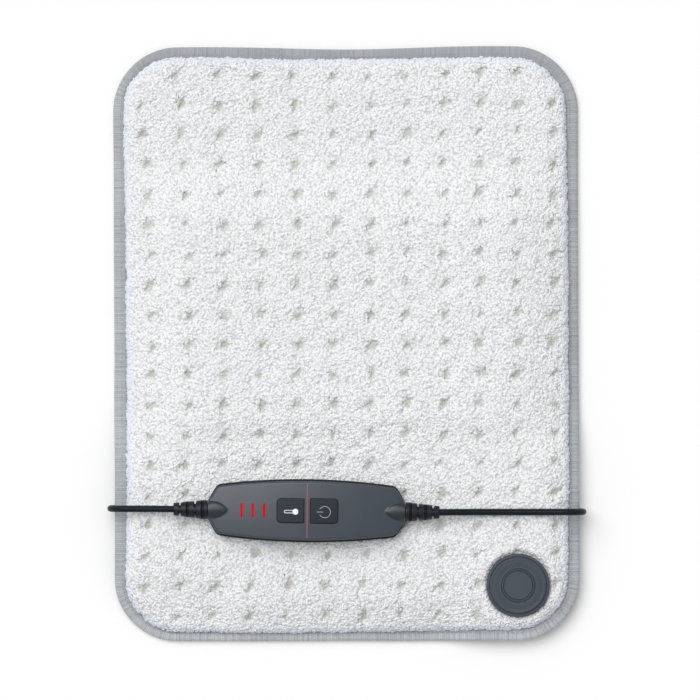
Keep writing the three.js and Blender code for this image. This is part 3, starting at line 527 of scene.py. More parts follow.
def curly_fleece():
    """Polyester fleece with a curled pile. Its crimped ends scatter nearly all the light. The
    tips of the curls are painted lighter and the hollows between them greyer, as painted
    shade; at the tufts the greyish ground knit shows, with painted shade in their pits; and
    the rolled rim is painted a bluish white, as painted light. The fibres, really 0.03 mm,
    are drawn at 0.35 mm so that they show."""
    material, tree, shader, place, fibre = finish_of(
        "curly polyester fleece", "#F6F7F9", 0.9, FLEECE_FIBRE, Sheen_Weight=0.25,
        Sheen_Roughness=0.5)
    cells = node(tree, "ShaderNodeTexVoronoi", Vector=place, Scale=1 / FLEECE_CELL)["Distance"]
    curl = node(tree, "ShaderNodeMapRange", Value=cells, From_Min=0.8, From_Max=0.2)[0]
    pile, tuft, rim = [node(tree, "ShaderNodeAttribute", {"attribute_name": stored})["Fac"]
                       for stored in ("pile", "tuft", "rim")]
    both = node(tree, "ShaderNodeMix", Factor_Float=0.6, A_Float=fibre, B_Float=curl)[0]
    # Painted shade: the curl tips lighter and the gaps between the curls greyer. The tufts show
    # their greyish ground with painted shade in the pits, and the rim gets painted bluish light
    return finished(material, shader, both, FLEECE_RELIEF, "#EAEBED",
                    ("#FDFEFF", pile, 0.05, 0.6, 1), ("#D8D9DD", curl, 0.6, 0, 1),
                    ("#C6C6BE", tuft, 0, 1, 1), ("#EAEFFB", rim, 0, 1, 1))


def needled_wadding():
    """Needle-punched polyester wadding: matt, off-white, with a felted lie of fibres."""
    material, _, shader, _, fibre = finish_of("needled polyester wadding", "#E4E2DC", 0.95,
                                              WADDING_FIBRE)
    return finished(material, shader, fibre, WADDING_RELIEF, "#D8D6D0",
                    ("#ECEAE5", fibre, 0, 1, 1))


def grosgrain_tape():
    """Woven polyester tape. Its crosswise ribs, 1.3 mm apart, get painted shade in fine lines,
    its colour drifts where the dye took unevenly, it is darker in streaks across it that fall
    at random, and it is painted darker, as painted shade broken up at random, where it goes
    under the pile. The stored value along is the angle of its ribs, one turn to a rib, and
    another stored value is painted shade by side: the left and right stretches of the tape
    are painted darker than its bottom stretch, and its top stretch darker still."""
    material, tree, shader, _, thread, fold, drift = finish_of(
        "ribbed polyester tape", "#A9ACAF", 0.8, TAPE_THREAD, TAPE_FOLD, TAPE_DRIFT,
        Sheen_Weight=0.15)
    along, dim, tucked = [node(tree, "ShaderNodeAttribute", {"attribute_name": stored})["Fac"]
                          for stored in ("along", "dim", "tucked")]
    wave = node(tree, "ShaderNodeMath", {"operation": "SINE"}, Value=along)[0]
    rib = node(tree, "ShaderNodeMapRange", Value=wave, From_Min=-1.0)[0]
    streak = node(tree, "ShaderNodeTexNoise", {"noise_dimensions": "1D"}, W=along,
                  Scale=PUCKER_STREAK, Detail=4.0, Roughness=0.6)[0]
    # The second tint is painted shade by side of the pad, and the third is painted shade between the
    # ribs
    tints = [("#D5D9DD", drift, 0.38, 0.62, 1), ("#8E9195", dim, 0, 1, 1),
             ("#8F9194", rib, 0, 1, 0.25), ("#86888C", streak, 0.6, 0.35, 0.5),
             ("#7D7F83", thread, 0.6, 0.35, 0.35)]
    # Painted shade where the tape goes under the pile, in two steps and broken up by a fold pattern
    for shade, start, end, low, most, least in (("#9A9DA2", 0.0, 0.6, 0.4, 0.9, 0.3),
                                                ("#5E6064", 0.6, 1.0, 0.38, 1.0, 0.25)):
        broken = node(tree, "ShaderNodeMapRange", Value=fold, From_Min=low, From_Max=0.6,
                      To_Min=most, To_Max=least)[0]
        tints.append((shade, tucked, start, end, broken))
    both = node(tree, "ShaderNodeMix", Factor_Float=0.5, A_Float=rib, B_Float=thread)[0]
    both = node(tree, "ShaderNodeMix", Factor_Float=0.4, A_Float=both, B_Float=streak)[0]
    return finished(material, shader, both, TAPE_RELIEF, "#C5C9CD", *tints)


def brushed_knit():
    """Brushed tricot on the underside: pale grey, softly napped, with fine wales 0.9 mm apart."""
    material, tree, shader, place, nap = finish_of("brushed tricot knit", "#D3D6DA", 0.9,
                                                   KNIT_NAP, Sheen_Weight=0.3)
    wales = node(tree, "ShaderNodeTexWave", {"bands_direction": "X"}, Vector=place,
                 Scale=WAVE_TURN / KNIT_WALE, Distortion=1.5, Detail=2.0)[1]
    both = node(tree, "ShaderNodeMix", Factor_Float=0.5, A_Float=wales, B_Float=nap)[0]
    return finished(material, shader, both, KNIT_RELIEF, "#C6C9CE",
                    ("#E0E2E6", nap, 0, 1, 1))


def drawn_metal(name, colour, roughness):
    """Turned or drawn metal, plated: fine lines and a slight unevenness of the gloss."""
    material, tree, shader, _, lines = finish_of(name, colour, roughness, METAL_LINE,
                                                 Metallic=1.0)
    rough = node(tree, "ShaderNodeMapRange", Value=lines, From_Min=0.3, From_Max=0.7,
                 To_Min=roughness - 0.08, To_Max=roughness + 0.1)[0]
    return finished(material, shader, lines, METAL_RELIEF, Roughness=rough)


def circuit_laminate():
    """Glass-fibre board under green solder mask: glossy, with the weave just showing."""
    material, tree, shader, place = finish_of("green solder mask", "#2F6B45", 0.35)
    weave = node(tree, "ShaderNodeTexWave", Vector=place, Scale=WAVE_TURN / BOARD_WEAVE)[1]
    return finished(material, shader, weave, BOARD_RELIEF, "#2A623E",
                    ("#34734B", weave, 0, 1, 1))


def fuse_glass():
    """Clear glass tube of the fuse, with a faint draw line along it."""
    material, _, shader, _, lines = finish_of("clear fuse glass", "#EEF3F2", 0.06, GLASS_LINE,
                                              Transmission_Weight=0.9, IOR=1.5)
    return finished(material, shader, lines, GLASS_RELIEF)


# Shapes

def in_scene(name, data):
    """A new object in the scene."""
    made = bpy.data.objects.new(name, data)
    bpy.context.scene.collection.objects.link(made)
    return made


def worked_out(piece):
    """The piece's mesh with its modifiers carried out."""
    bpy.context.view_layer.update()
    graph = bpy.context.evaluated_depsgraph_get()
    return bpy.data.meshes.new_from_object(piece.evaluated_get(graph))


def enclosed_volume(mesh):
    """The volume inside a closed mesh, below zero where its faces point inwards."""
    mesh.calc_loop_triangles()
    corners = np.empty(3 * len(mesh.loop_triangles), np.int32)
    mesh.loop_triangles.foreach_get("vertices", corners)
    points = np.empty(3 * len(mesh.vertices), np.float32)
    mesh.vertices.foreach_get("co", points)
    a, b, c = points.reshape(-1, 3)[corners.reshape(-1, 3)].astype(float).transpose(1, 0, 2)
    return float((a * np.cross(b, c)).sum() / 6)


class Skin:
    """The points and faces of one closed mesh."""

    def __init__(self):
        self.points = []
        self.faces = []
        self.count = 0

    def put(self, points):
        """Takes points in any arrangement and returns their numbers in the same one."""
        points = np.asarray(points, float)
        numbers = np.arange(self.count, self.count + points[..., 0].size)
        self.points.append(points.reshape(-1, 3))
        self.count += numbers.size
        return numbers.reshape(points.shape[:-1])

    def grid(self, points, upward=True):
        """A sheet of quads over rows and columns of points."""
        numbers = self.put(points)
        quads = np.stack([numbers[:-1, :-1], numbers[:-1, 1:], numbers[1:, 1:], numbers[1:, :-1]],
                         axis=-1).reshape(-1, 4)
        self.faces.extend((quads if upward else quads[:, ::-1]).tolist())
        return numbers

    def band(self, low, high):
        """Quads between two closed loops of equally many points, facing out of the loops."""
        quads = np.stack([low, np.roll(low, -1), np.roll(high, -1), high], axis=-1)
        self.faces.extend(quads.tolist())

    def wrap(self, rings, closed=False):
        """Bands between rings of points, each to the next one, and the last to the first."""
        loops = [self.put(ring) for ring in rings]
        for low, high in zip(loops, loops[1:] + loops[:int(closed)]):
            self.band(low, high)
        return loops

    def stitch(self, fine, coarse):
        """Faces from a fine loop to a coarse one that is a whole share of it."""
        share = len(fine) // len(coarse)
        for i, number in enumerate(fine):
            near = coarse[((i + share // 2) // share) % len(coarse)]
            self.faces.append([number, near, fine[(i + 1) % len(fine)]])
        for j, number in enumerate(coarse):
            turn = fine[(j * share + (share + 1) // 2) % len(fine)]
            self.faces.append([turn, number, coarse[(j + 1) % len(coarse)]])

    def fan(self, loop, middle, upward=True):
        """Triangles from a loop to one point in its middle."""
        number = int(self.put([middle])[0])
        for a, b in zip(loop, np.roll(loop, -1)):
            self.faces.append([a, b, number] if upward else [b, a, number])

    def piece(self, name, material, crease=40):
        """The mesh as an object, smooth but for edges sharper than crease degrees."""
        mesh = bpy.data.meshes.new(name)
        mesh.from_pydata(np.concatenate(self.points), [], self.faces)
        mesh.update()
        if enclosed_volume(mesh) < 0:
            mesh.flip_normals()
        mesh.polygons.foreach_set("use_smooth", np.ones(len(mesh.polygons), bool))
        mesh.set_sharp_from_angle(angle=math.radians(crease))
        mesh.materials.append(material)
        return in_scene(name, mesh)


def edge_loop(numbers):
    """The numbers round the edge of a grid, counter-clockwise."""
    return np.concatenate([numbers[0, :-1], numbers[:-1, -1], numbers[-1, :0:-1],
                           numbers[:0:-1, 0]])


def store(piece, name, values):
    """A value for each of the piece's points, which a material can read."""
    stored = piece.data.attributes.new(name, "FLOAT", "POINT")
    padded = np.zeros(len(piece.data.vertices), np.float32)
    padded[:values.size] = values.ravel()
    stored.data.foreach_set("value", padded)


def store_turns(piece, name, values, whole):
    """An angle for each corner of the piece's faces, which runs on over the closing seam."""
    corners = np.empty(len(piece.data.loops), np.int32)
    piece.data.loops.foreach_get("vertex_index", corners)
    turns = values[corners].reshape(-1, 4)
    turns = np.where(turns.max(1, keepdims=True) - turns > whole / 2, turns + whole, turns)
    stored = piece.data.attributes.new(name, "FLOAT", "CORNER")
    stored.data.foreach_set("value", turns.ravel().astype(np.float32))


def ease(share):
    """A smooth step from 0 to 1."""
    share = np.clip(share, 0, 1)
    return share * share * (3 - 2 * share)


def within(table, u, v, soft=False):
    """The value of a table between its places, its rows along u and its columns along v."""
    i, j = np.floor(u).astype(int), np.floor(v).astype(int)
    share_u, share_v = [ease(s) if soft else s for s in (u - i, v - j)]
    rows, columns = table.shape
    near, far = [(1 - share_u) * table[i % rows, (j + k) % columns]
                 + share_u * table[(i + 1) % rows, (j + k) % columns] for k in (0, 1)]
    return (1 - share_v) * near + share_v * far


def smooth_noise(x, y, size, seed):
    """Smooth random values from -1 to 1 that change over a distance of size."""
    table = np.random.default_rng(seed).uniform(-1, 1, (NOISE_TABLE, NOISE_TABLE))
    return within(table, x / size + NOISE_TABLE / 2, y / size + NOISE_TABLE / 2, soft=True)


def oblong(away_x, away_y, turn, length, width):
    """How far out of a turned oblong's middle a place is, squared, and 1 at the oblong's edge."""
    along = (away_x * np.cos(turn) + away_y * np.sin(turn)) / length
    across = (away_y * np.cos(turn) - away_x * np.sin(turn)) / width
    return along ** 2 + across ** 2


def curls(x, y, size, seed):
    """Height of a curled pile, from 0 to 1: the highest of many oblong tufts, turned at random
    and bent a little, that each cover about size."""
    random = np.random.default_rng(seed)
    places = (CURL_TABLE, CURL_TABLE)
    shift_x, shift_y = random.uniform(-CURL_STRAY, CURL_STRAY, (2, *places))
    lean = random.uniform(0, math.pi, places)
    tall = random.uniform(CURL_LOWEST, 1, places)
    x = x + CURL_BEND * size * smooth_noise(x, y, CURL_BEND_SIZE * size, seed + 1)
    y = y + CURL_BEND * size * smooth_noise(x, y, CURL_BEND_SIZE * size, seed + 2)
    column, row = np.floor(x / size).astype(int), np.floor(y / size).astype(int)
    best = np.zeros_like(x)
    for step_x in (-1, 0, 1):
        for step_y in (-1, 0, 1):
            i, j = (column + step_x) % CURL_TABLE, (row + step_y) % CURL_TABLE
            away_x = x - (column + step_x + 0.5 + shift_x[i, j]) * size
            away_y = y - (row + step_y + 0.5 + shift_y[i, j]) * size
            away = oblong(away_x, away_y, lean[i, j], CURL_LENGTH * size, CURL_WIDTH * size)
            best = np.maximum(best, tall[i, j] * np.sqrt(np.clip(1 - away, 0, None)))
    return best


def arc(middle, radius, start, end, steps):
    """Points on a level arc between two angles in degrees."""
    turns = np.radians(np.linspace(start, end, steps))
    return np.stack([middle[0] + radius * np.cos(turns), middle[1] + radius * np.sin(turns)], -1)


def rounded_outline(size, radii, grow=0.0, steps=10):
    """Corner points of a rectangle whose left and right corners are rounded differently."""
    corners = []
    for sign_x, sign_y, start in ((1, -1, -90), (1, 1, 0), (-1, 1, 90), (-1, -1, 180)):
        radius = radii[int(sign_x > 0)] + grow
        middle = (sign_x * (size[0] / 2 + grow - radius), sign_y * (size[1] / 2 + grow - radius))
        corners.append(arc(middle, radius, start, start + 90, steps))
    return np.concatenate(corners)


def travelled(points):
    """How far along a line each of its points is."""
    return np.concatenate([[0], np.cumsum(np.linalg.norm(np.diff(points, axis=0), axis=1))])


def walk(points, step):
    """Evenly spaced points along straight stretches between the given ones."""
    points = np.asarray(points, float)
    gone = travelled(points)
    along = np.linspace(0, gone[-1], max(3, round(gone[-1] / step)) + 1)
    return np.stack([np.interp(along, gone, points[:, axis]) for axis in (0, 1)], -1)


def from_corner(x, y, size, radius):
    """How far a point lies inside a rounded rectangle, how far past the middles of its corners,
    and the same without what is below zero."""
    away = [np.abs(v) - extent / 2 + radius for v, extent in zip((x, y), size)]
    past = [np.clip(a, 0, None) for a in away]
    return radius - np.hypot(*past) - np.clip(np.maximum(*away), None, 0), away, past


# The drape of the pad over what lies under it

def edge_place(x, y):
    """How far a point lies inside the pad's edge, and the way out of the pad there."""
    inside, away, past = from_corner(x, y, (PAD_WIDTH, PAD_LENGTH), PAD_CORNER)
    outside = np.hypot(*past)
    flat = outside < 1e-9
    out_x = np.where(flat, away[0] > away[1], past[0] / np.where(flat, 1, outside))
    out_y = np.where(flat, away[0] <= away[1], past[1] / np.where(flat, 1, outside))
    return inside, out_x * np.sign(x), out_y * np.sign(y)


def plateau(x, y, left, right, front, back, run, height):
    """A flat rise with smooth slopes all round it."""
    out_x = np.clip(np.abs(x - (left + right) / 2) - (right - left) / 2, 0, None)
    out_y = np.clip(np.abs(y - (front + back) / 2) - (back - front) / 2, 0, None)
    return height * (1 - ease(np.hypot(out_x, out_y) / run))


def smoothed_drape(x, y):
    """The height of the pad's underside on an even grid. Its raised edges droop under their own
    weight, and its creases are eased away."""
    bundle = plateau(x, y, *BUNDLE_FIELD, BUNDLE_HEIGHT)
    ridge = np.maximum.reduce([plateau(x, y, *field, RIDGE_HEIGHT) for field in RIDGE_FIELDS])
    ridge *= 1 - EDGE_DROOP * (1 - ease(edge_place(x, y)[0] / DROOP_RUN))
    rise = (bundle ** VALLEY_FILL + ridge ** VALLEY_FILL) ** (1 / VALLEY_FILL)
    for _ in range(DRAPE_ROUNDS):
        edged = np.pad(rise, 1, "edge")
        rise = (4 * rise + edged[:-2, 1:-1] + edged[2:, 1:-1] + edged[1:-1, :-2]
                + edged[1:-1, 2:]) / 8
    return rise


DRAPE_X, DRAPE_Y = np.meshgrid(*[np.arange(-steps, steps + 1) * DRAPE_STEP
                                 for steps in DRAPE_STEPS])
DRAPE = smoothed_drape(DRAPE_X, DRAPE_Y)


def drape(x, y):
    """The height of the pad's underside above the table."""
    column = np.clip((x - DRAPE_X[0, 0]) / DRAPE_STEP, 0, DRAPE.shape[1] - 1.001)
    row = np.clip((y - DRAPE_Y[0, 0]) / DRAPE_STEP, 0, DRAPE.shape[0] - 1.001)
    return within(DRAPE, row, column)


# The pad's outline

def pad_grid(inset, rows, columns):
    """Rows and columns of points that fill the pad's outline, evenly along its edge."""
    half_x, half_y, radius = PAD_WIDTH / 2 - inset, PAD_LENGTH / 2 - inset, PAD_CORNER - inset
    straight = half_y - radius
    reach = straight + radius * math.pi / 2
    along = np.linspace(-reach, reach, rows + 1)
    turn = np.clip((np.abs(along) - straight) / radius, 0, None)
    y = np.where(turn > 0, np.sign(along) * (straight + radius * np.sin(turn)), along)
    half = half_x - radius + radius * np.cos(turn)
    share = np.linspace(-1, 1, columns + 1)
    return share[None, :] * half[:, None], np.repeat(y[:, None], columns + 1, 1)


def swayed(points):
    """Cut cloth is never quite straight: the whole pad leans a little and its top edge bows
    in, and everything of it shifts alike."""
    x, y = points[..., 0].copy(), points[..., 1].copy()
    u, v = 2 * x / PAD_WIDTH, 2 * y / PAD_LENGTH
    points[..., 0] += PAD_LEAN * (LEAN_MIDDLE - v) + OUTLINE_SWAY * smooth_noise(x, y, SWAY_SIZE, 31)
    points[..., 1] += PAD_LEAN * LEAN_ACROSS * u + OUTLINE_SWAY * smooth_noise(x, y, SWAY_SIZE, 32)
    bow = TOP_BOW_LEVEL + np.cos(math.pi * x / TOP_BOW_REACH)
    points[..., 1] -= TOP_BOW * bow * ease(v) ** 2
    return points


def laid(x, y, height):
    """Points at a height above the pad's underside, where it lies."""
    return swayed(np.stack([x, y, drape(x, y) + height], -1))


def layer(name, material, inset, low, high):
    """A flat layer of the pad between two heights above its underside."""
    x, y = pad_grid(inset, round(PAD_LENGTH / LAYER_STEP), round(PAD_WIDTH / LAYER_STEP))
    skin = Skin()
    under = skin.grid(laid(x, y, low), upward=False)
    over = skin.grid(laid(x, y, high))
    skin.band(edge_loop(under), edge_loop(over))
    return skin.piece(name, material)


# The plush cover

def tuft_places():
    """The middle, the turn and the size of each sewn tuft. Sewing drew the rows of tufts
    into slight curves, and those in the corners are faint."""
    random = np.random.default_rng(7)
    for column in range(TUFT_COLUMNS):
        for row in range(TUFT_ROWS):
            u = 2 * column / (TUFT_COLUMNS - 1) - 1
            v = 2 * row / (TUFT_ROWS - 1) - 1
            x = TUFT_MIDDLE[0] + u * (TUFT_SPREAD[0] + END_SPREAD * v * v)
            x += v * (COLUMN_LEAN + OUTER_LEAN * u * u) - COLUMN_BOW * v * v
            y = TUFT_MIDDLE[1] + v * TUFT_SPREAD[1] + u * ROW_LEAN
            x += random.uniform(-1, 1) * TUFT_STRAY
            y += random.uniform(-1, 1) * TUFT_STRAY
            turn = math.radians(random.uniform(*TUFT_TURNS))
            size = random.uniform(*TUFT_SIZES) * (CORNER_TUFT if abs(u) == abs(v) == 1 else 1)
            yield x, y, turn, size, random.uniform(*TUFT_STRENGTHS)


def tufts(x, y):
    """How deep the tufts draw the pile down, and where their ground shows, from 0 to 1. The
    fleece colours that ground a greyish knit with painted shade in the pits.
    """
    depth, ground = np.zeros_like(x), np.zeros_like(x)
    reach = 3 * TUFT_DRAW_SIZE
    steep, cut = TUFT_PIT
    fray = 1 + TUFT_FRAY * smooth_noise(x, y, TUFT_FRAY_SIZE, 51)
    for place_x, place_y, turn, size, strength in tuft_places():
        close = (np.abs(x - place_x) < reach) & (np.abs(y - place_y) < reach)
        away_x, away_y = x[close] - place_x, y[close] - place_y
        away = oblong(away_x, away_y, turn, TUFT_LENGTH * size, TUFT_WIDTH * size)
        pit = np.clip(steep * np.exp(-away * fray[close]) - cut, 0, 1)
        wide = np.exp(-(away_x ** 2 + away_y ** 2) / TUFT_DRAW_SIZE ** 2)
        depth[close] += strength * (TUFT_DEPTH * pit + TUFT_DRAW * wide)
        ground[close] = np.maximum(ground[close], strength * pit)
    return depth, ground


def rim_inset(x, y):
    """How far in from the edge the pile begins, which differs a little all round the pad."""
    way = np.arctan2(y / PAD_LENGTH, x / PAD_WIDTH)
    steps = np.arange(len(RIM_INSETS)) * math.tau / len(RIM_INSETS)
    return MM * np.interp(way, steps, RIM_INSETS, period=math.tau)


def plush_pile(material):
    """The plush: a fine sheet whose rim rolls over the binding, raised by its curls, over a
    coarse underside. Its curls stand square to the sheet, so that they fringe the rim."""
    roll = math.pi / 2 * math.sqrt((RIM_RUN ** 2 + RIM_DROP ** 2) / 2)
    start = MM * min(RIM_INSETS) - (roll - RIM_RUN)
    columns, rows = [PILE_COARSE * round((extent - 2 * start) / PILE_STEP / PILE_COARSE)
                     for extent in (PAD_WIDTH, PAD_LENGTH)]
    x, y = pad_grid(start, rows, columns)
    inside, out_x, out_y = edge_place(x, y)
    reach = inside - start
    lean = np.clip(reach / roll, 0, 1) * math.pi / 2
    rim = rim_inset(x, y) + RIM_FRAY * (RIM_WAVE * smooth_noise(x, y, RIM_WAVE_SIZE, 61)
                                        + smooth_noise(x, y, RIM_FRAY_SIZE, 62))
    settle = ease((reach - roll) / PILE_EDGE_RUN)
    wanted = np.where(reach < roll, rim + RIM_RUN * (1 - np.cos(lean)),
                      (rim + RIM_RUN + reach - roll) * (1 - settle) + inside * settle)
    flat_x, flat_y = x + out_x * (inside - wanted), y + out_y * (inside - wanted)
    depth, ground = tufts(flat_x, flat_y)
    fall = PILE_EDGE_FALL * np.clip(1 - (wanted - rim) / PILE_EDGE_RUN, 0, 1) ** 2
    crown = RIM_HEIGHT + (PILE_TOP - CURL_HEIGHT - fall - RIM_HEIGHT) * np.sin(lean)
    from_cap = np.hypot(flat_x - CAP_PLACE[0], flat_y - CAP_PLACE[1])
    dent = 1 - ease((from_cap - CAP_RADIUS - CAP_DENT_START) / CAP_DENT_RUN)
    height = drape(flat_x, flat_y) + crown - depth
    height = height * (1 - dent) + np.minimum(height, CAP_LOW - CAP_DENT_RUN / 2) * dent
    sheet = np.stack([flat_x, flat_y, height], -1)
    normal = np.cross(np.gradient(sheet, axis=1), np.gradient(sheet, axis=0))
    normal /= np.linalg.norm(normal, axis=-1, keepdims=True)
    curl = CURL_HEIGHT * curls(x, y, CURL_SIZE, 11)
    curl += FINE_CURL_HEIGHT * curls(x, y, FINE_CURL_SIZE, 17)
    clump = smooth_noise(x, y, CLUMP_SIZE, 23)
    clump += BROAD_CLUMP * smooth_noise(x, y, BROAD_CLUMP_SIZE, 24)
    raised = curl * (1 - GROUND_MATTING * ground) * np.where(from_cap < CAP_RADIUS, UNDER_CAP, 1)
    raised += CLUMP_HEIGHT * clump * np.sin(lean)
    skin = Skin()
    over = edge_loop(skin.grid(swayed(sheet + normal * raised[..., None])))
    deep = RIM_TUCK - start
    tuck_x, tuck_y = edge_loop(x - out_x * deep), edge_loop(y - out_y * deep)
    tuck = skin.put(laid(tuck_x, tuck_y, RIM_HEIGHT))
    fold = skin.put(laid(tuck_x, tuck_y, PILE_LOW))
    skin.band(tuck, over)
    skin.band(fold, tuck)
    x, y = pad_grid(RIM_TUCK, rows // PILE_COARSE, columns // PILE_COARSE)
    under = skin.grid(laid(x * UNDERSIDE_SHARE, y * UNDERSIDE_SHARE, PILE_LOW), upward=False)
    skin.stitch(fold, edge_loop(under))
    made = skin.piece("plush_pile", material, crease=180)
    # What the fleece reads for its painted shade and light: curl height, where the tufts' ground
    # shows, and the rim
    store(made, "pile", curl / (CURL_HEIGHT + FINE_CURL_HEIGHT))
    store(made, "tuft", ground)
    # Painted bluish light on the rolled rim, strongest at its outer edge
    store(made, "rim", 1 - ease((reach - RIM_PAINTED_LIGHT_START * roll) / roll))
    return made


# The binding and its stitches

def outline_walk(inset, step):
    """Points round the pad's edge, the way out at each, and how far along the edge each is."""
    radius = PAD_CORNER - inset
    outline = rounded_outline((PAD_WIDTH - 2 * inset, PAD_LENGTH - 2 * inset), (radius, radius),
                              steps=90)
    outline = np.concatenate([outline, outline[:1]])
    x, y = walk(outline, step)[:-1].T
    _, out_x, out_y = edge_place(x, y)
    return x, y, out_x, out_y, np.arange(len(x)) * travelled(outline)[-1] / len(x)


def tape_side(thin):
    """One side of the folded tape's section, thin inside its outer face: each point's distance
    in from the edge and its height."""
    half = TAPE_HEIGHT / 2
    run = TAPE_WIDTH - half
    side = []
    for share in np.linspace(0, 1, TAPE_FLAT_STEPS):
        crown = math.sin(math.pi * (TAPE_CROWN_START + (1 - TAPE_CROWN_START) * share))
        side.append((TAPE_WIDTH - share * run, TAPE_HEIGHT + TAPE_CROWN * crown - thin))
    for turn in np.radians(np.linspace(TAPE_FOLD_TURN, -TAPE_FOLD_TURN, TAPE_FOLD_STEPS)):
        side.append((half - (half - thin) * math.cos(turn), half + (half - thin) * math.sin(turn)))
    return side + [(TAPE_WIDTH - share * run, thin) for share in (1, 0.5, 0)]


def binding_tape(material):
    """The tape round the edge, puckered where it is eased round the corners."""
    x, y, out_x, out_y, along = outline_walk(0, TAPE_STEP)
    in_corner = ease(4 * np.minimum(np.abs(out_x), np.abs(out_y)))
    wave = smooth_noise(along, along * 0, PUCKER_SIZE, 41)
    broad = smooth_noise(along, along * 0, BROAD_PUCKER_SIZE, 42)
    pucker = (STRAIGHT_PUCKER + CORNER_PUCKER * in_corner) * wave + BROAD_PUCKER * broad
    # Painted shade by side: the top of the binding and its left and right stretches are painted
    # darker than its bottom
    dim = np.where(out_y > 0, SIDE_PAINTED_SHADE + (TOP_PAINTED_SHADE - SIDE_PAINTED_SHADE) * ease(out_y),
                   SIDE_PAINTED_SHADE * (1 - ease(-out_y)))
    rings, tucked = [], []
    for inset, height in tape_side(0)[::-1] + tape_side(TAPE_THICKNESS):
        top = int(height > TAPE_HEIGHT / 2)
        raised = top * (PUCKER_HEIGHT * inset / TAPE_WIDTH * pucker)
        rings.append(laid(x - out_x * inset, y - out_y * inset, height + raised))
        # Painted shade on the top of the tape where it goes under the pile's rim
        tucked.append(top * ease((inset - rim_inset(x, y) + PILE_EDGE_SHADE_RUN) / PILE_EDGE_SHADE_RUN))
    skin = Skin()
    skin.wrap(rings, closed=True)
    made = skin.piece("binding_tape", material, crease=50)
    whole = TAPE_RIBS * math.tau
    store(made, "tucked", np.concatenate(tucked))
    store(made, "dim", np.tile(dim, len(rings)))
    turns = along * whole / (along[-1] + along[1])
    store_turns(made, "along", np.tile(turns, len(rings)), whole)
    return made


def line_curve(name, line):
    """A curve of one spline through the points of a line."""
    curve = bpy.data.curves.new(name, "CURVE")
    curve.dimensions = "3D"
    spline = curve.splines.new("POLY")
    spline.points.add(len(line) - 1)
    spline.points.foreach_set("co", np.insert(line, 3, 1, axis=1).ravel())
    return curve, spline


def stitch_row(name, material, inset, height):
    """Lockstitches round the binding: one small bead of thread copied along the seam."""
    x, y, _, _, _ = outline_walk(inset, TAPE_STEP)
    seam, spline = line_curve(name, laid(x, y, height))
    spline.use_cyclic_u = True
    tree = bpy.data.node_groups.new(name, "GeometryNodeTree")
    for way in ("OUTPUT", "INPUT"):
        tree.interface.new_socket("Geometry", in_out=way, socket_type="NodeSocketGeometry")
    values = {"Pitch": STITCH_PITCH, "Length": STITCH_LENGTH, "Thickness": STITCH_THICKNESS,
              "Thread": material}
    inputs = []
    for label in values:
        kind = "NodeSocketMaterial" if label == "Thread" else "NodeSocketFloat"
        socket = tree.interface.new_socket(label, in_out="INPUT", socket_type=kind)
        inputs.append(socket.identifier)
    given = node(tree, "NodeGroupInput")
    spread = node(tree, "GeometryNodeResampleCurve", {"mode": "LENGTH"},
                  Curve=given["Geometry"], Length=given["Pitch"])[0]
    bead = node(tree, "GeometryNodeMeshUVSphere", Segments=6, Rings=5, Radius=0.5)[0]
    size = node(tree, "ShaderNodeCombineXYZ", X=given["Thickness"], Y=given["Thickness"],
                Z=given["Length"])[0]
    turn = node(tree, "FunctionNodeAlignEulerToVector", {"axis": "Z"},
                Vector=node(tree, "GeometryNodeInputTangent")[0])[0]
    copies = node(tree, "GeometryNodeInstanceOnPoints", Points=spread, Instance=bead,
                  Rotation=turn, Scale=size)[0]
    real = node(tree, "GeometryNodeRealizeInstances", Geometry=copies)[0]
    stitches = node(tree, "GeometryNodeSetMaterial", Geometry=real, Material=given["Thread"])[0]
    node(tree, "NodeGroupOutput", Geometry=stitches)
    carrier = in_scene(name + "_seam", seam)
    modifier = carrier.modifiers.new(name, "NODES")
    modifier.node_group = tree
    for identifier, value in zip(inputs, values.values()):
        modifier[identifier] = value
    mesh = worked_out(carrier)
    bpy.data.objects.remove(carrier)
    mesh.polygons.foreach_set("use_smooth", np.ones(len(mesh.polygons), bool))
    return in_scene(name, mesh)


# Leads

def smooth_route(points, step=2 * MM):
    """A Catmull-Rom line through the points, its knots spaced by the root of their distance."""
    points = [np.array(p) for p in points]
    points = [2 * points[0] - points[1]] + points + [2 * points[-1] - points[-2]]
    line = []
    for p0, p1, p2, p3 in zip(points, points[1:], points[2:], points[3:]):
        gaps = [np.linalg.norm(gap) for gap in (p1 - p0, p2 - p1, p3 - p2)]
        knots = np.cumsum([0, *np.sqrt(gaps)])
        for t in np.linspace(knots[1], knots[2], max(2, round(gaps[1] / step)), endpoint=False):
            row = (p0, p1, p2, p3)
            for spans in (((0, 1), (1, 2), (2, 3)), ((0, 2), (1, 3)), ((1, 2),)):
                shares = [(t - knots[a]) / (knots[b] - knots[a]) for a, b in spans]
                row = [(1 - s) * a + s * b for s, a, b in zip(shares, row, row[1:])]
            line.append(row[0])
    line.append(points[-2])
    return line


def coil_line():
    """The coiled stretch: in from the mains side on the lower layer, up to the upper layer in
    the half turn where it reverses, and out again to the plug's side."""
    outer = COIL_INNER + COIL_TURNS * COIL_PITCH
    phases = np.cumsum([0, COIL_TURNS + 0.25, 0.5, COIL_TURNS - 0.5])
    wound = np.arange(round(phases[-1] * STEPS_PER_TURN) + 1) / STEPS_PER_TURN
    to_side = 1 - ease(2 * wound) + ease(2 * (wound - phases[-1]) + 1)
    radius = (np.interp(wound, phases, [outer, COIL_INNER, COIL_INNER, outer])
              + (COIL_ENTRY - outer) * to_side)
    height = COIL_LOW + COIL_LAYER_RISE * ease((wound - phases[1]) / (phases[2] - phases[1]))
    angle = (wound - 0.25) * math.tau
    return list(np.stack([COIL_CENTRE[0] + radius * np.cos(angle),
                          COIL_CENTRE[1] + radius * np.sin(angle), height], -1))


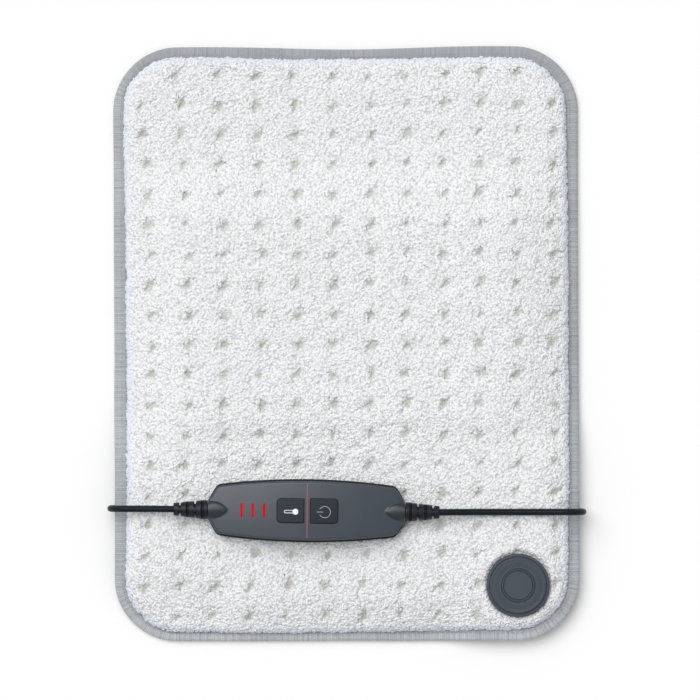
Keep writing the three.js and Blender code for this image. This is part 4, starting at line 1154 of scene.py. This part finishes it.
def lead(name, line, material, radius=LEAD_DIAMETER / 2):
    """A round lead along a line of points."""
    curve, spline = line_curve(name, line)
    curve.bevel_depth = radius
    curve.bevel_resolution = 5
    curve.use_fill_caps = True
    spline.use_smooth = True
    curve.materials.append(material)
    return in_scene(name, curve)


# The round cap of the connector and the coil's tie

def rounded(radius, height, turn, inward=True):
    """Four steps of a rounded edge from a wall up to a top, or down again into a groove."""
    points = [(radius - turn * (1 - math.cos(a)), height - turn * (1 - math.sin(a)))
              for a in np.radians([0, 30, 60, 90])]
    return points if inward else [(2 * radius - r, h) for r, h in points[::-1]]


def cap_profile():
    """The cap from its foot to its middle: rim, raised disc, sunk band, two grooves."""
    rim, top = CAP_HEIGHT - CAP_RIM_DROP, CAP_HEIGHT
    profile = [(CAP_RADIUS - CAP_FOOT_EDGE, 0), (CAP_RADIUS, CAP_FOOT_EDGE)]
    profile += rounded(CAP_RADIUS, rim, CAP_RIM_EDGE)
    for beyond, depth in zip(CAP_GUTTER, (0, CAP_GROOVE_DEPTH, CAP_GROOVE_DEPTH)):
        profile.append((CAP_DISC + beyond, rim - depth))
    profile += rounded(CAP_DISC, top, CAP_DISC_EDGE)
    profile += rounded(CAP_BAND[1], top, CAP_BAND_EDGE, inward=False)
    profile += [(r, top - CAP_BAND_DEPTH) for r in np.linspace(
        CAP_BAND[1] - CAP_BAND_MARGIN, CAP_BAND[0] + CAP_BAND_MARGIN, CAP_BAND_STEPS)]
    profile += rounded(CAP_BAND[0], top, CAP_BAND_EDGE)
    for middle in CAP_GROOVES:
        for side, depth in CAP_GROOVE_SHAPE:
            profile.append((middle + side * CAP_GROOVE_HALF, top - depth * CAP_GROOVE_DEPTH))
    return profile + [(CAP_INNER_RING, top)]


def grip_ribs(radius, angles):
    """Short radial ribs on the cap's band, for the fingers."""
    low, high = CAP_RIBBED
    along = ease((radius - low) / CAP_RIB_END) * ease((high - radius) / CAP_RIB_END)
    steep, lift = CAP_RIB_SHAPE
    return CAP_RIB_HEIGHT * along * ease(steep * np.cos(CAP_RIBS * angles) + lift)


def round_cap(material):
    """The round cap on the plush, which the fingers turn to line the connector up."""
    angles = np.arange(CAP_SEGMENTS) * math.tau / CAP_SEGMENTS
    skin = Skin()
    loops = skin.wrap([np.stack([CAP_PLACE[0] + radius * np.cos(angles),
                                 CAP_PLACE[1] + radius * np.sin(angles),
                                 CAP_LOW + height + grip_ribs(radius, angles)], -1)
                       for radius, height in cap_profile()])
    skin.fan(loops[0], (*CAP_PLACE, CAP_LOW), upward=False)
    skin.fan(loops[-1], (*CAP_PLACE, CAP_LOW + CAP_HEIGHT))
    return skin.piece("round_cap", material, crease=25)


def tie_band(material):
    """A flat strap closed round all the turns of the coil."""
    low, high = [np.array(v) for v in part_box("coil_tie")]
    middle, half = (low + high) / 2, (high - low) / 2
    angles = np.arange(TIE_STEPS) * math.tau / TIE_STEPS
    cos, sin = [np.sign(v) * np.abs(v) ** TIE_SQUARENESS for v in (np.cos(angles), np.sin(angles))]
    rings = []
    for inset, side in ((0, -1), (0, 1), (TIE_THICKNESS, 1), (TIE_THICKNESS, -1)):
        rings.append(np.stack([middle[0] + cos * (half[0] - inset),
                               np.full(TIE_STEPS, middle[1] + side * half[1]),
                               middle[2] + sin * (half[2] - inset)], -1))
    skin = Skin()
    skin.wrap(rings, closed=True)
    return skin.piece("tie_band", material, crease=35)


# The controller. Its own frame has X along it and zero height at its underside

def on_pad(x, y, z):
    """Points of the controller's own frame, taken to its place on the pad."""
    x, y, z = np.broadcast_arrays(x, y, z)
    cos, sin = math.cos(math.radians(HANDSET_TURN)), math.sin(math.radians(HANDSET_TURN))
    return np.stack([HANDSET_PLACE[0] + x * cos - y * sin,
                     HANDSET_PLACE[1] + x * sin + y * cos, HANDSET_PLACE[2] + z], -1)


def half_width(x):
    """Half the housing's width: its sides bow, and slant in at the ends."""
    bowed = HOUSING_WIDTH / 2 - (HOUSING_WIDTH - SHOULDER_WIDTH) / 2 * (x / SHOULDER_X) ** 2
    steep = (SHOULDER_WIDTH - END_WIDTH) / 2 / (HOUSING_HALF - SHOULDER_X)
    slanted = END_WIDTH / 2 + (HOUSING_HALF - np.abs(x)) * steep
    return -CORNER_SOFTNESS * np.logaddexp(-bowed / CORNER_SOFTNESS, -slanted / CORNER_SOFTNESS)


def housing_top(x, y):
    """Height of the housing's crowned top, without its rounded edge."""
    return (HOUSING_HEIGHT - HOUSING_CROWN * (x / HOUSING_HALF) ** 2
            - SIDE_CROWN * (y / half_width(x)) ** 2)


def hood_height(x, y):
    """Height of the pointed hood that rises out of the top towards each end, over the boot."""
    nose = np.clip((np.abs(x) - HOOD_START) / HOOD_NOSE, 0, 1)
    half = HOOD_HALF * (1 - (1 - nose) ** 2) ** HOOD_ROUNDING
    rise = np.clip((np.abs(x) - HOOD_START) / (HOUSING_HALF - HOOD_START), 0, 1)
    dome = np.sqrt(np.clip(1 - (y / np.maximum(half, 0.01 * MM)) ** 2, 0, None))
    return np.where(dome > 0, housing_top(x, y) + HOOD_LIFT * rise ** HOOD_RISING * dome, 0)


def edge_drop(inside, radius):
    """How far a rounded edge falls, at a distance inside the outline."""
    return radius - np.sqrt(np.clip(radius ** 2 - (radius - np.clip(inside, 0, radius)) ** 2,
                                    0, None))


def clustered(steps):
    """Shares from -1 to 1 that crowd together at both ends."""
    return np.sin(np.linspace(-math.pi / 2, math.pi / 2, steps + 1))


def housing_grid(share, inset, end_inset):
    """Points over the housing's outline, and how far each lies inside it."""
    rows, columns = SHELL_ROWS // share, SHELL_COLUMNS // share
    x = (HOUSING_HALF - end_inset) * clustered(columns)
    narrowed = inset * (1 - ease((np.abs(x) - HOUSING_HALF + INSET_FADE) / INSET_FADE))
    half = half_width(x) - np.maximum(narrowed, end_inset)
    steep = np.gradient(half, x)
    y = clustered(rows)[:, None] * half[None, :]
    x = np.repeat(x[None, :], rows + 1, 0)
    return x, y, (half[None, :] - np.abs(y)) / np.sqrt(1 + steep[None, :] ** 2)


def walled(skin, x, y, z, level, upward=True):
    """A sheet in the controller's frame with an upright wall from its edge to a level. Returns
    the loop at that level."""
    sheet = edge_loop(skin.grid(on_pad(x, y, z), upward))
    edge = skin.put(on_pad(edge_loop(x), edge_loop(y), level))
    skin.band(*((edge, sheet) if upward else (sheet, edge)))
    return edge


def top_shell(material):
    """The upper shell: crowned, hooded over both boots, open for the buttons and lights."""
    x, y, inside = housing_grid(1, RIM_LEDGE, 0)
    falling = edge_drop(np.minimum(inside, HOUSING_HALF - np.abs(x)), TOP_RADIUS)
    hood = hood_height(x, y)
    hooded = ease((hood - housing_top(x, y) + falling) / HOOD_EDGE)
    skin = Skin()
    foot = walled(skin, x, y, np.maximum(housing_top(x, y) - falling, hood), PARTING + SEAM)
    x, y, inside = housing_grid(1, RIM_LEDGE + WALL, WALL)
    z = np.maximum(housing_top(x, y) - WALL - edge_drop(inside, TOP_RADIUS / 2),
                   PARTING + 2 * SEAM)
    skin.band(walled(skin, x, y, z, PARTING + SEAM, upward=False), foot)
    made = skin.piece("handset_top_shell", material, crease=30)
    store(made, "marked", hooded)
    return made


def bottom_shell(material):
    """The lower shell: a tray with a rounded foot, a little wider than the upper shell."""
    x, y, inside = housing_grid(2, 0, 0)
    level = PARTING - SEAM
    skin = Skin()
    low = walled(skin, x, y, edge_drop(np.minimum(inside, HOUSING_HALF - np.abs(x)), FOOT_RADIUS),
                 level - BRIM_RADIUS, upward=False)
    brim = skin.put(on_pad(edge_loop(x) * (1 - BRIM_RADIUS / HOUSING_HALF),
                           edge_loop(y) * (1 - 2 * BRIM_RADIUS / HOUSING_WIDTH), level))
    skin.band(low, brim)
    x, y, inside = housing_grid(2, WALL, WALL)
    lip = walled(skin, x, y, WALL + edge_drop(inside, FOOT_RADIUS / 2), level)
    skin.band(brim, lip)
    return skin.piece("handset_bottom_shell", material, crease=30)


def prism(skin, outline, low, high):
    """An upright prism on a level outline, in the controller's own frame."""
    foot, top = skin.wrap([on_pad(*outline.T, z) for z in (low, high)])
    skin.faces.append(foot[::-1].tolist())
    skin.faces.append(top.tolist())


def carved(piece, tool):
    """The piece with the tool's shapes taken out of it."""
    modifier = piece.modifiers.new("openings", "BOOLEAN")
    modifier.operation = "DIFFERENCE"
    modifier.solver = "EXACT"
    modifier.object = tool
    mesh = worked_out(piece)
    piece.modifiers.remove(modifier)
    plain = piece.data
    piece.data = mesh
    bpy.data.meshes.remove(plain)
    bpy.data.objects.remove(tool)
    mesh.set_sharp_from_angle(angle=math.radians(30))
    return piece


def pillow(skin, place, size, radii, low, proud, edge, grid):
    """A rounded rectangle that follows the housing's top, with a rounded rim and upright
    sides down to low. Returns its loop at the foot, and that loop's places."""
    (length, width), (left, right), (rows, columns) = size, radii, grid
    v = clustered(rows) * width / 2
    reach = []
    for radius in (left, right):
        turn = np.clip(np.abs(v) - width / 2 + radius, 0, radius)
        reach.append(length / 2 - radius + np.sqrt(np.clip(radius ** 2 - turn ** 2, 0, None)))
    share = clustered(columns)[None, :]
    x = np.where(share < 0, share * reach[0][:, None], share * reach[1][:, None])
    y = np.repeat(v[:, None], columns + 1, 1)
    inside, _, _ = from_corner(x, y, size, np.where(x < 0, left, right))
    x = x + place
    foot = walled(skin, x, y, housing_top(x, y) + proud - edge_drop(inside, edge), low)
    return foot, np.stack([edge_loop(x), edge_loop(y)], -1)


def key(name, place, size, radii, material):
    """A push button with the flange under the shell that holds it in."""
    skin = Skin()
    foot, outline = pillow(skin, place, size, radii, FLANGE_TOP, BUTTON_PROUD, BUTTON_EDGE,
                           (BUTTON_ROWS, BUTTON_ROWS))
    wide = (outline - (place, 0)) * (1 + 2 * FLANGE_REACH / np.array(size)) + (place, 0)
    brim = skin.put(on_pad(*wide.T, FLANGE_TOP))
    base = skin.put(on_pad(*wide.T, FLANGE_TOP - FLANGE_HEIGHT))
    skin.band(brim, foot)
    skin.band(base, brim)
    skin.faces.append(base[::-1].tolist())
    return skin.piece(name, material, crease=30)


def inlay(name, place, size, corner, low, proud, edge, grid, material):
    """A small window or strip set into the housing's top."""
    skin = Skin()
    foot, _ = pillow(skin, place, size, (corner, corner), low, proud, edge, grid)
    skin.faces.append(foot[::-1].tolist())
    return skin.piece(name, material)


def stroke(skin, path, width, proud=BUTTON_PROUD):
    """A printed line with round ends along a path on a button, a film of ink high."""
    heading = np.gradient(path, axis=0)
    heading /= np.linalg.norm(heading, axis=1, keepdims=True)
    side = np.stack([-heading[:, 1], heading[:, 0]], -1)
    gone = travelled(path)
    from_end = np.clip(np.minimum(gone, gone[-1] - gone) / (width / 2), 0, 1)
    half = width / 2 * np.sqrt(np.clip(1 - (1 - from_end) ** 2, 1e-4, None))
    share = np.array([-1, 0, 1])[:, None, None]
    flat = path[None] - share * (side * half[:, None])[None]
    x, y = flat[..., 0], flat[..., 1]
    base = housing_top(x, y) + proud
    over = edge_loop(skin.grid(on_pad(x, y, base + INK_HEIGHT)))
    under = edge_loop(skin.grid(on_pad(x, y, base - INK_HEIGHT), upward=False))
    skin.band(under, over)


def thermometer_mark(material):
    """A thermometer lying on its side: an outlined stem and a filled bulb."""
    skin = Skin()
    x, y = BULB_PLACE
    neck = x - BULB_RADIUS / 2
    outline = np.concatenate([[(neck, y + STEM_HALF)],
                              arc((x - STEM_LENGTH, y), STEM_HALF, 90, 270, steps=13),
                              [(neck, y - STEM_HALF)]])
    stroke(skin, walk(outline, MARK_STEP), MARK_WIDTH)
    stroke(skin, walk([(x - BULB_RADIUS, y), (x + BULB_RADIUS, y)], MARK_STEP),
           2 * BULB_RADIUS, BUTTON_PROUD + INK_HEIGHT)
    return skin.piece("thermometer_mark", material, crease=60)


def power_mark(material):
    """The power symbol: an open circle with a line through its gap."""
    skin = Skin()
    x, y = POWER_PLACE
    stroke(skin, arc((x, y), POWER_RADIUS, POWER_GAP - 180, 180 - POWER_GAP, steps=90), MARK_WIDTH)
    stroke(skin, walk([(x - away, y) for away in POWER_LINE], MARK_STEP), MARK_WIDTH)
    return skin.piece("power_mark", material, crease=60)


def boot_radius(u, turn):
    """Radius of the strain relief: a collar, then ribs that taper, parted by grooves that
    two bridges cross, above and below or at the sides by turns."""
    pitch = (BOOT_TIP - BOOT_RIBS_START) / BOOT_RIBS
    share = np.clip((u - BOOT_RIBS_START) / (BOOT_TIP - BOOT_RIBS_START), 0, 1)
    outer = BOOT_COLLAR_RADIUS + (BOOT_TIP_RADIUS - BOOT_COLLAR_RADIUS) * share
    rib = np.clip((u - BOOT_RIBS_START) / pitch, 0, BOOT_RIBS - 1e-6)
    number = np.floor(rib)
    into = (rib - number) * pitch
    in_groove = ease(into / GROOVE_EDGE) * ease((GROOVE_LENGTH - into) / GROOVE_EDGE)
    in_groove *= u > BOOT_RIBS_START
    bridges = np.abs(np.cos(turn + (number % 2) * math.pi / 2))
    open_way = 1 - ease((bridges - BRIDGE_START) / BRIDGE_EDGE)
    edges = np.minimum(into - GROOVE_LENGTH, pitch - into)
    rounding = np.where(into > GROOVE_LENGTH, edge_drop(edges, RIB_EDGE), 0) * (share > 0)
    tip = edge_drop(BOOT_TIP - u, RIB_EDGE)
    return outer - np.maximum(rounding * open_way, tip) - GROOVE_DEPTH * in_groove * open_way


def boot(name, end, material):
    """A ribbed rubber boot, with the flange inside the housing that holds it."""
    angles = np.arange(BOOT_SEGMENTS) * math.tau / BOOT_SEGMENTS
    flange_end = BOOT_FLANGE + BOOT_FLANGE_DEPTH
    step, drop = BOOT_COLLAR_EDGE
    rings = [(BOOT_INNER_END, LEAD_DIAMETER / 2), (BOOT_FLANGE, LEAD_DIAMETER / 2),
             (BOOT_FLANGE, BOOT_FLANGE_RADIUS), (flange_end, BOOT_FLANGE_RADIUS),
             (flange_end, BOOT_NECK), (BOOT_COLLAR, BOOT_NECK),
             (BOOT_COLLAR, BOOT_COLLAR_RADIUS - drop)]
    rings += [(u, boot_radius(u, angles)) for u in np.arange(BOOT_COLLAR + step, BOOT_TIP,
                                                             BOOT_STEP)]
    rings.append((BOOT_TIP, BOOT_TIP_RADIUS - RIB_EDGE))
    skin = Skin()
    loops = skin.wrap([on_pad(end * u, end * radius * np.cos(angles),
                              BOOT_AXIS + radius * np.sin(angles)) for u, radius in rings])
    skin.fan(loops[0], on_pad(end * BOOT_INNER_END, 0, BOOT_AXIS), upward=False)
    skin.fan(loops[-1], on_pad(end * BOOT_TIP, 0, BOOT_AXIS))
    return skin.piece(name, material, crease=35)


# The camera and the leads

def place_camera():
    """Straight down from far above, as in the photograph."""
    camera = bpy.data.cameras.new("camera")
    camera.lens = LENS
    camera.sensor_width = SENSOR_WIDTH
    camera.clip_end = FAR_CLIP
    holder = in_scene("camera", camera)
    holder.location = (*PHOTO_MIDDLE, PHOTO_PLANE + LENS / SENSOR_WIDTH * PHOTO_WIDTH)
    bpy.context.scene.camera = holder


def fitted(piece, slot, *nodes, body=BODY):
    """Fixes a piece to its body and hides the nodes that it stands for. Its slot is not used."""
    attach(piece, body)
    if nodes:
        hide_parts(*nodes)
    return piece


place_camera()
plastics = {use: moulded_plastic(*row, **PLASTIC_EXTRAS.get(use, {}))
            for use, row in PLASTICS.items()}
mains_line = smooth_route(MAINS_ROUTE)[:-1] + coil_line()[:-1] + smooth_route(TAIL_ROUTE)
mains_cable = fitted(lead("mains_cable", mains_line, plastics["lead"]), "lead",
                     "mains_lead", "mains_lead_coil", "mains_lead_tail")
pad_cable = fitted(lead("pad_cable", smooth_route(PAD_ROUTE), plastics["lead"]), "lead",
                   "pad_lead")

# The pad

def heating_line():
    """The heating wire's runs up and down the pad, joined by half turns, and its return."""
    pitch = 2 * CAP_PLACE[0] / (WIRE_RUNS - 1)
    top = PAD_LENGTH / 2 - WIRE_TOP_MARGIN - pitch / 2
    bottom = WIRE_BOTTOM_MARGIN + pitch / 2 - PAD_LENGTH / 2
    back = WIRE_RETURN_MARGIN - PAD_LENGTH / 2
    flat = [(CAP_PLACE[0] - WIRE_CLEAR, back), (-CAP_PLACE[0], back)]
    for run in range(WIRE_RUNS):
        x = run * pitch - CAP_PLACE[0]
        start, end = (bottom, top) if run % 2 == 0 else (top, bottom)
        if run == WIRE_RUNS - 1:
            flat += [(x, start), (x, WIRE_CLEAR + CAP_PLACE[1])]
        else:
            flat += [(x, start), (x, end)]
            flat += list(arc((x + pitch / 2, end), pitch / 2, 180, 360 * (run % 2),
                             WIRE_TURN_STEPS)[1:-1])
    x, y = walk(flat, LAYER_STEP / 2).T
    return np.stack([x, y, drape(x, y) + WIRE_MIDDLE], -1)


wadding = needled_wadding()
plush = fitted(plush_pile(curly_fleece()), "plush", "pad_top_cover")
upper = fitted(layer("upper_wadding", wadding, WADDING_INSET, *UPPER_WADDING), "wadding",
               "upper_fleece")
lower = fitted(layer("lower_wadding", wadding, WADDING_INSET, *LOWER_WADDING), "wadding",
               "lower_fleece")
back = fitted(layer("back_cover", brushed_knit(), TAPE_THICKNESS, BACK_LOW, BACK_HIGH), "backing",
              "pad_back_cover")
fitted(binding_tape(grosgrain_tape()), "binding", "edge_binding")
for row, height in (("stitches_above", TAPE_HEIGHT + TAPE_CROWN), ("stitches_below", 0)):
    fitted(stitch_row(row, plastics["thread"], STITCH_INSET, height), "binding")
fitted(lead("heating_cable_run", heating_line(), plastics["heating cable"], WIRE_RADIUS),
       "heating_cable", "heating_wire")
fitted(round_cap(plastics["cap"]), "cap", "connector_cap")
fitted(tie_band(plastics["black nylon"]), "black_plastic", "coil_tie")


# The controller

def cutter(name, outlines, low, high):
    """What is cut from a shell: an upright prism on each outline."""
    skin = Skin()
    for outline in outlines:
        prism(skin, outline, low, high)
    return skin.piece(name, plastics["shell"])


windows = [rounded_outline(size, radii, BUTTON_GAP) + (place, 0)
           for place, size, radii in KEYS.values()]
windows += [rounded_outline(LEVEL_SIZE, (LEVEL_CORNER, LEVEL_CORNER)) + (place, 0)
            for place in LEVEL_XS]
screw_holes = [arc(place, SCREW_HOLE, 0, 360 - 360 / SCREW_SIDES, SCREW_SIDES)
               for place in SCREW_PLACES]
fitted(carved(top_shell(plastics["shell"]),
              cutter("openings", windows, PARTING / 2, 2 * HOUSING_HEIGHT)),
       "shell", "controller_top_shell")
fitted(carved(bottom_shell(plastics["lower shell"]),
              cutter("screw_openings", screw_holes, -WALL, 2 * WALL)),
       "shell", "controller_bottom_shell")
for name, (place, size, radii) in KEYS.items():
    fitted(key(f"{name}_key_cap", place, size, radii, plastics["key"]), "button",
           f"{name}_button", body=f"{name}_key")
fitted(thermometer_mark(plastics["white ink"]), "pale_plastic", body="heat_key")
fitted(power_mark(plastics["grey ink"]), "pale_plastic", body="power_key")
for number, place in enumerate(LEVEL_XS, 1):
    fitted(inlay(f"level_bar_{number}", place, LEVEL_SIZE, LEVEL_CORNER, LEVEL_LOW, LEVEL_PROUD,
                 LEVEL_EDGE, LEVEL_GRID, plastics["light"]),
           "light_bar", f"level_window_{number}")
fitted(inlay("centre_line", LINE_X, LINE_SIZE, LINE_CORNER, LINE_LOW, LINE_PROUD, LINE_EDGE,
             LINE_GRID, plastics["line"]),
       "centre_line", "centre_line_inlay")
fitted(boot("mains_strain_relief", -1, plastics["boot"]), "boot", "mains_boot")
fitted(boot("pad_strain_relief", 1, plastics["boot"]), "boot", "pad_boot")

# Finishes of the parts that show as the solids they are
node_finishes = {
    "steel": drawn_metal("zinc-plated steel", "#B8BBC0", 0.35),
    "nickel": drawn_metal("nickel-plated brass", "#C8C5BA", 0.22),
    "boot": plastics["boot"],
    "black_plastic": plastics["black nylon"],
    "board": circuit_laminate(),
    "copper_wire": plastics["wire insulation"],
    "pale_plastic": plastics["pale nylon"],
    "glass": fuse_glass(),
}
for part in frame["record"]["subparts"]:
    shown = bpy.data.objects[part["node"]]
    finish = node_finishes.get(part["material_slot"])
    if finish and not shown.hide_render:
        shown.data.materials.clear()
        shown.data.materials.append(finish)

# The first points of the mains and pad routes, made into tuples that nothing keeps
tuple(MAINS_ROUTE[0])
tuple(PAD_ROUTE[0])


# The table and the light

def seen_by(tree, *rays):
    """1 for rays of these kinds, and 0 for any other."""
    path = node(tree, "ShaderNodeLightPath")
    seen = path[rays[0]]
    for ray in rays[1:]:
        seen = node(tree, "ShaderNodeMath", {"operation": "MAXIMUM"}, Value=seen,
                    Value_001=path[ray])[0]
    return seen


def table():
    """White paper on a table. Seen straight or in a gloss it glows a little, so that it is
    plain white up to the pad's soft shadow."""
    material, tree, shader, _, grain = finish_of("white table paper", "#F2F2F2", 0.9, PAPER_GRAIN)
    seen = seen_by(tree, "Is Camera Ray", "Is Glossy Ray", "Is Transmission Ray")
    glow = node(tree, "ShaderNodeMapRange", Value=seen, To_Max=TABLE_GLOW)[0]
    finished(material, shader, grain, PAPER_RELIEF, Emission_Color="#FFFFFF",
             Emission_Strength=glow)
    skin = Skin()
    x, y = np.meshgrid(np.array([-1, 1]) * TABLE_HALF, np.array([-1, 1]) * TABLE_HALF)
    skin.grid(np.stack([x, y, np.full_like(x, TABLE_HEIGHT)], -1))
    skin.piece("table", material)


def studio_light():
    """An even white room, and one broad lamp high on the upper left."""
    world = bpy.data.worlds.new("white room")
    world.use_nodes = True
    seen = seen_by(world.node_tree, "Is Camera Ray", "Is Transmission Ray")
    level = node(world.node_tree, "ShaderNodeMapRange", Value=seen, To_Min=ROOM_LIGHT)[0]
    join(world.node_tree.nodes["Background"], Color="#FFFFFF", Strength=level)
    bpy.context.scene.world = world
    sun = bpy.data.lights.new("broad lamp", "SUN")
    sun.energy = LAMP_STRENGTH
    sun.angle = math.radians(LAMP_SOFTNESS)
    lamp = in_scene("broad lamp", sun)
    lamp.rotation_euler = Vector(LAMP_FROM).to_track_quat("Z", "Y").to_euler()


table()
studio_light()
bpy.context.scene.view_settings.view_transform = "Standard"
